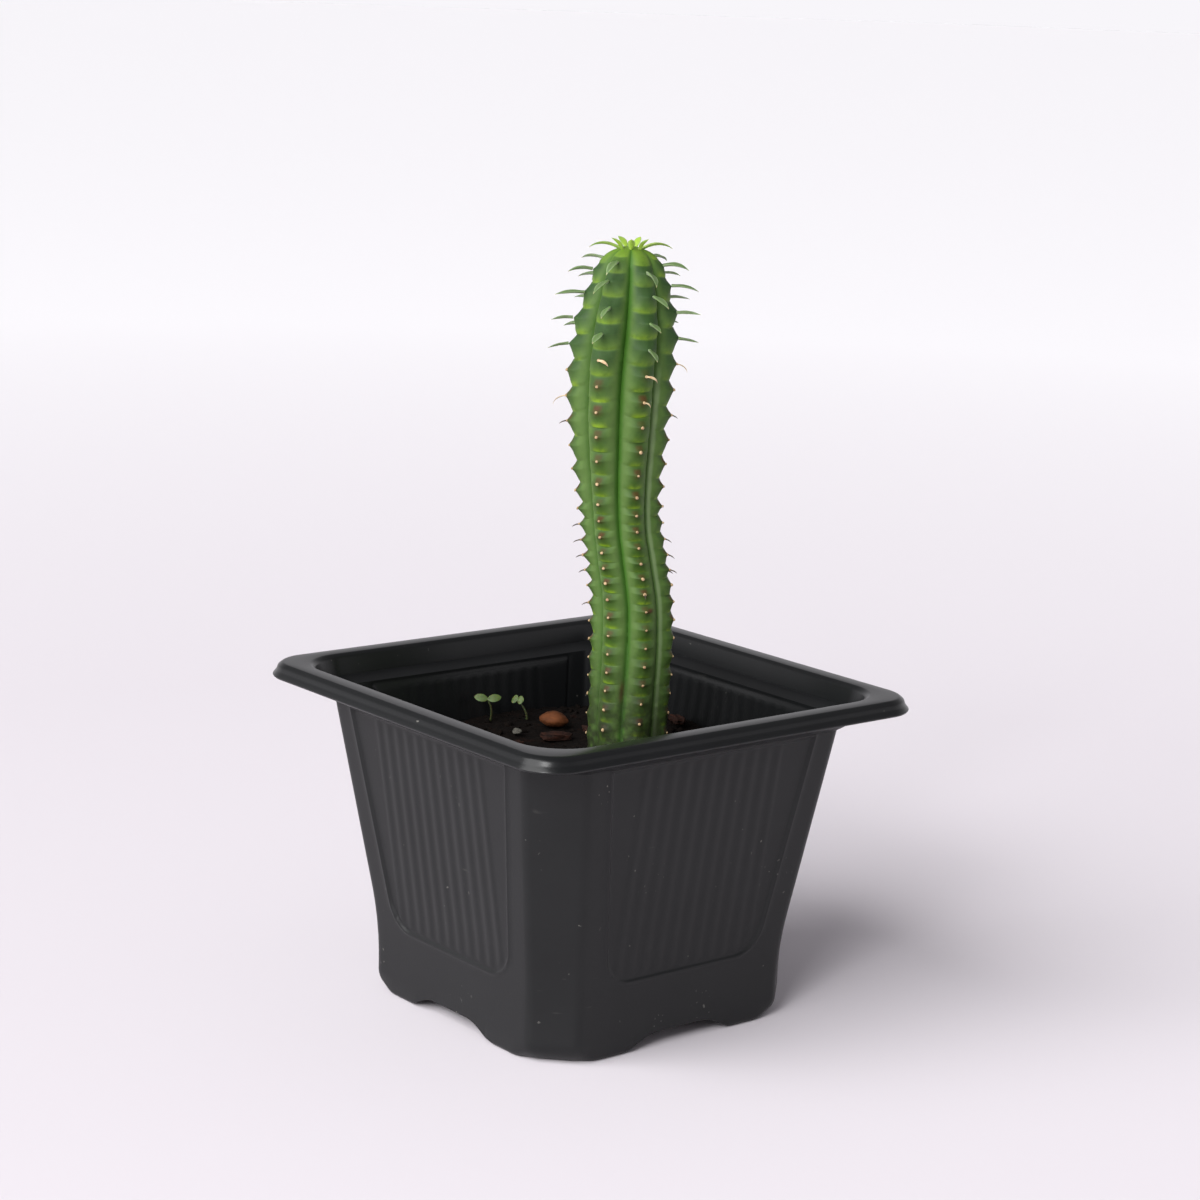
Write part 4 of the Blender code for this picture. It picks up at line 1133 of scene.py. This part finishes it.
def mineral(name, colour, grain, roughness):
    """Weathered stone: matt, mottled in its own colour, and faintly pitted."""
    material, tree, shader = new_material(name, roughness, IOR=1.3)
    mottled = coated(tree, toned(colour, 0.45), (toned(colour, 1.35), speckle(tree, grain, 0.3, 0.7)))
    dress(tree, shader, mottled, speckle(tree, 0.7, 0.25, 0.75, 6.0), 0.06, 0.6)
    return material


def pine_bark(mix):
    """Shredded pine bark: dark outside, redder where it has split, in layers about half a millimetre
    thick."""
    material, tree, shader = new_material("shredded_pine_bark", 0.8, IOR=1.3)
    layers = speckle(tree, 1.6, 0.35, 0.65, 4.0, (0.5, 1.0, 3.5))
    dress(tree, shader, coated(tree, mix.bark, (mix.bark_pale, layers)), layers, 0.25, 0.9)
    return material


class PLANT_OT_lay_litter(bpy.types.Operator):
    """Lay the stones and the bark chips on the mix"""
    bl_idname = "plant.lay_litter"
    bl_label = "Lay the litter"

    def execute(self, context):
        mix = context.scene.plant_mix
        bark = pine_bark(mix)
        looks = {
            "orange_stone": (mineral("fired_clay_pebble", mix.orange_stone, 2.4, 0.75), "orange_stone"),
            "pale_stone": (mineral("weathered_limestone", mix.pale_stone, 1.2, 0.8), "pale_stone"),
        }
        grain, faces = ball(40, 27)
        for number, (name, (x, y), half, turn) in enumerate(LITTER):
            shape = Shape()
            rough = 0.12 if name == "orange_stone" else 0.35
            points = worn(grain, number + 1, rough, 1.1, 3.0)
            if name.startswith("bark"):
                # A chip is split flat, with ragged ends.
                points = np.sign(points) * np.abs(points) ** np.array((0.75, 0.8, 0.6))
                points[:, 2] += 0.25 * np.sin(5 * points[:, 1] + number)
            lift = rest_height(x, y, 0.6 * half[0]) + GAP + half[2]
            shape.add(turned(points * half, math.radians(turn)) + (x, y, lift), faces)
            material, slot = looks.get(name, (bark, "bark"))
            piece = shape.make(f"{name}_worn", material, 60)
            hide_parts(name)
        return {"FINISHED"}


def seedling_tissue(mix):
    """Seedlings: tender and thin, with light coming through, greener in the seed leaves."""
    material, tree, shader = new_material("seedling_tissue", 0.5, IOR=1.4, Subsurface_Weight=0.25,
                                          Subsurface_Scale=0.8 * MM)
    tender = coated(tree, mix.sprout, (toned(mix.sprout, 1.5), speckle(tree, 1.0, 0.3, 0.7)))
    tree.links.new(coated(tree, mix.stalk, (tender, "leafy")), shader.inputs["Base Color"])
    return material


class PLANT_OT_sprout_seedlings(bpy.types.Operator):
    """Sprout the two seedlings, each a thin stalk with its pair of seed leaves"""
    bl_idname = "plant.sprout_seedlings"
    bl_label = "Sprout the seedlings"

    def execute(self, context):
        material = seedling_tissue(context.scene.plant_mix)
        for name, (x, y), top, half, stand_off, heading in SEEDLINGS:
            shape = Shape()
            foot = np.array((x, y, rest_height(x, y, STALK_RADIUS) + GAP - 0.1))
            top = np.array(top)
            t = np.linspace(0, 1, 14)[:, None]
            bow = np.array((0.5, 0.3, 0.0)) * np.sin(np.pi * t)
            shape.add(*tube(foot + (top - foot) * t + bow, STALK_RADIUS * (0.8 - 0.25 * t[:, 0])), leafy=0.0)
            for side, roll in ((0, LEAF_ROLL), (180, -LEAF_ROLL)):
                points, faces, *_ = blade(half[0] + stand_off, 2.3 * half[1], 0.3, math.radians(20), 0.12,
                                          OVAL, around=16)
                points = turned(points, math.radians(heading + side), math.radians(14), math.radians(roll))
                shape.add(points + top - (0, 0, 0.1), faces, leafy=1.0)
            piece = shape.make(f"{name}_grown", material, 60)
            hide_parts(name)
        return {"FINISHED"}


# ---- Studio ----

FLOOR_REACH = 40.0            # metres
CAMERA_PLACE = (0.46555, -0.37608, 0.21514)    # metres
CAMERA_TURN = ((50.88, "Z"), (78.115, "X"), (2.05, "Z"))    # heading, tilt and roll, in degrees


def seamless_paper(studio):
    """Seamless paper: matt, a little cool, running out to white."""
    material, tree, shader = new_material("seamless_paper", 0.9)
    place = add_node(tree, "ShaderNodeTexCoord").outputs["Object"]
    away = add_node(tree, "ShaderNodeVectorMath", {0: place}, operation="LENGTH").outputs["Value"]
    fade = add_node(tree, "ShaderNodeMapRange", {"Value": away, "From Min": 0.3, "From Max": 1.3})
    colour = coated(tree, studio.floor, (studio.floor_far, fade.outputs[0]))
    tree.links.new(colour, shader.inputs["Base Color"])
    return material


def bright_room(studio):
    """A bright room whose light comes from all round, with little from overhead."""
    world = bpy.data.worlds.new("bright_room")
    world.use_nodes = True
    tree = world.node_tree
    background = tree.nodes["Background"]
    background.inputs["Color"].default_value = (*studio.sky, 1.0)
    toward = add_node(tree, "ShaderNodeTexCoord").outputs["Generated"]
    upward = add_node(tree, "ShaderNodeSeparateXYZ", {0: toward}).outputs["Z"]
    strength = add_node(tree, "ShaderNodeMapRange", {"Value": upward, "From Min": 0.1, "From Max": 0.5,
                                                     "To Min": 1.0, "To Max": 0.27})
    tree.links.new(strength.outputs[0], background.inputs["Strength"])
    return world


def placed(name, data, place=(0, 0, 0), looking=None):
    """The object of a floor, a light or a camera, put at its place and turned where it looks."""
    thing = bpy.data.objects.new(name, data)
    thing.location = place
    if looking:
        thing.rotation_euler = Vector(looking).to_track_quat("-Z", "Y").to_euler()
    bpy.context.scene.collection.objects.link(thing)
    return thing


class PLANT_OT_set_stage(bpy.types.Operator):
    """Lay a plain pale floor, light it softly from the left, and stand the camera in front"""
    bl_idname = "plant.set_stage"
    bl_label = "Set the stage"

    def execute(self, context):
        studio = context.scene.plant_studio
        scene = context.scene
        scene.world = bright_room(studio)
        scene.view_settings.view_transform = "Standard"
        mesh = bpy.data.meshes.new("floor")
        corners = [(-FLOOR_REACH, -FLOOR_REACH, 0), (FLOOR_REACH, -FLOOR_REACH, 0),
                   (FLOOR_REACH, FLOOR_REACH, 0), (-FLOOR_REACH, FLOOR_REACH, 0)]
        mesh.from_pydata(corners, [], [(0, 1, 2, 3)])
        mesh.materials.append(seamless_paper(studio))
        floor = placed("floor", mesh)

        sun = bpy.data.lights.new("key_light", "SUN")
        sun.energy, sun.angle = studio.key_power, math.radians(62)
        key = placed("key_light", sun, looking=(0.05, 0.99, -0.68))
        # A softbox above the camera puts the sheen on the front corner.
        softbox = bpy.data.lights.new("front_light", "AREA")
        softbox.shape, softbox.size, softbox.size_y = "RECTANGLE", 0.5, 0.35
        softbox.energy = studio.front_power
        front = placed("front_light", softbox, (0.8, -1.3, 0.9), (-0.8, 1.3, -0.83))

        lens = bpy.data.cameras.new("camera")
        lens.lens, lens.sensor_width, lens.clip_start = studio.lens, 36.0, 0.05
        camera = placed("camera", lens)
        heading, tilt, roll = (Matrix.Rotation(math.radians(angle), 4, axis) for angle, axis in CAMERA_TURN)
        camera.matrix_world = Matrix.Translation(CAMERA_PLACE) @ heading @ tilt @ roll
        scene.camera = camera
        return {"FINISHED"}


# ---- Add-on ----

STEPS = (
    PLANT_OT_mould_pot,
    PLANT_OT_fill_mix,
    PLANT_OT_lay_litter,
    PLANT_OT_sprout_seedlings,
    PLANT_OT_grow_stem,
    PLANT_OT_grow_leaves,
    PLANT_OT_age_teeth,
    PLANT_OT_set_stage,
)
SETTINGS = (
    ("plant_pot", PotSettings),
    ("plant_mix", MixSettings),
    ("plant_stem", StemSettings),
    ("plant_leaf", LeafSettings),
    ("plant_studio", StudioSettings),
)


class PLANT_PT_panel(bpy.types.Panel):
    """Lists the plant's settings and the steps that build it"""
    bl_idname = "PLANT_PT_panel"
    bl_label = "Potted succulent"
    bl_space_type = "VIEW_3D"
    bl_region_type = "UI"
    bl_category = "Plant"

    def draw(self, context):
        for name, group in SETTINGS:
            box = self.layout.box()
            settings = getattr(context.scene, name)
            for key in group.__annotations__:
                box.prop(settings, key)
        for step in STEPS:
            self.layout.operator(step.bl_idname)


CLASSES = tuple(group for _, group in SETTINGS) + STEPS + (PLANT_PT_panel,)


def register():
    """Make the plant's settings and steps known to Blender."""
    for item in CLASSES:
        bpy.utils.register_class(item)
    for name, group in SETTINGS:
        setattr(bpy.types.Scene, name, bpy.props.PointerProperty(type=group))


def unregister():
    """Take back what register added."""
    for name, _ in SETTINGS:
        delattr(bpy.types.Scene, name)
    for item in reversed(CLASSES):
        bpy.utils.unregister_class(item)


def main():
    """Build every piece and the stage in order."""
    register()
    for step in STEPS:
        group, action = step.bl_idname.split(".")
        getattr(getattr(bpy.ops, group), action)()


if __name__ == "__main__":
    main()
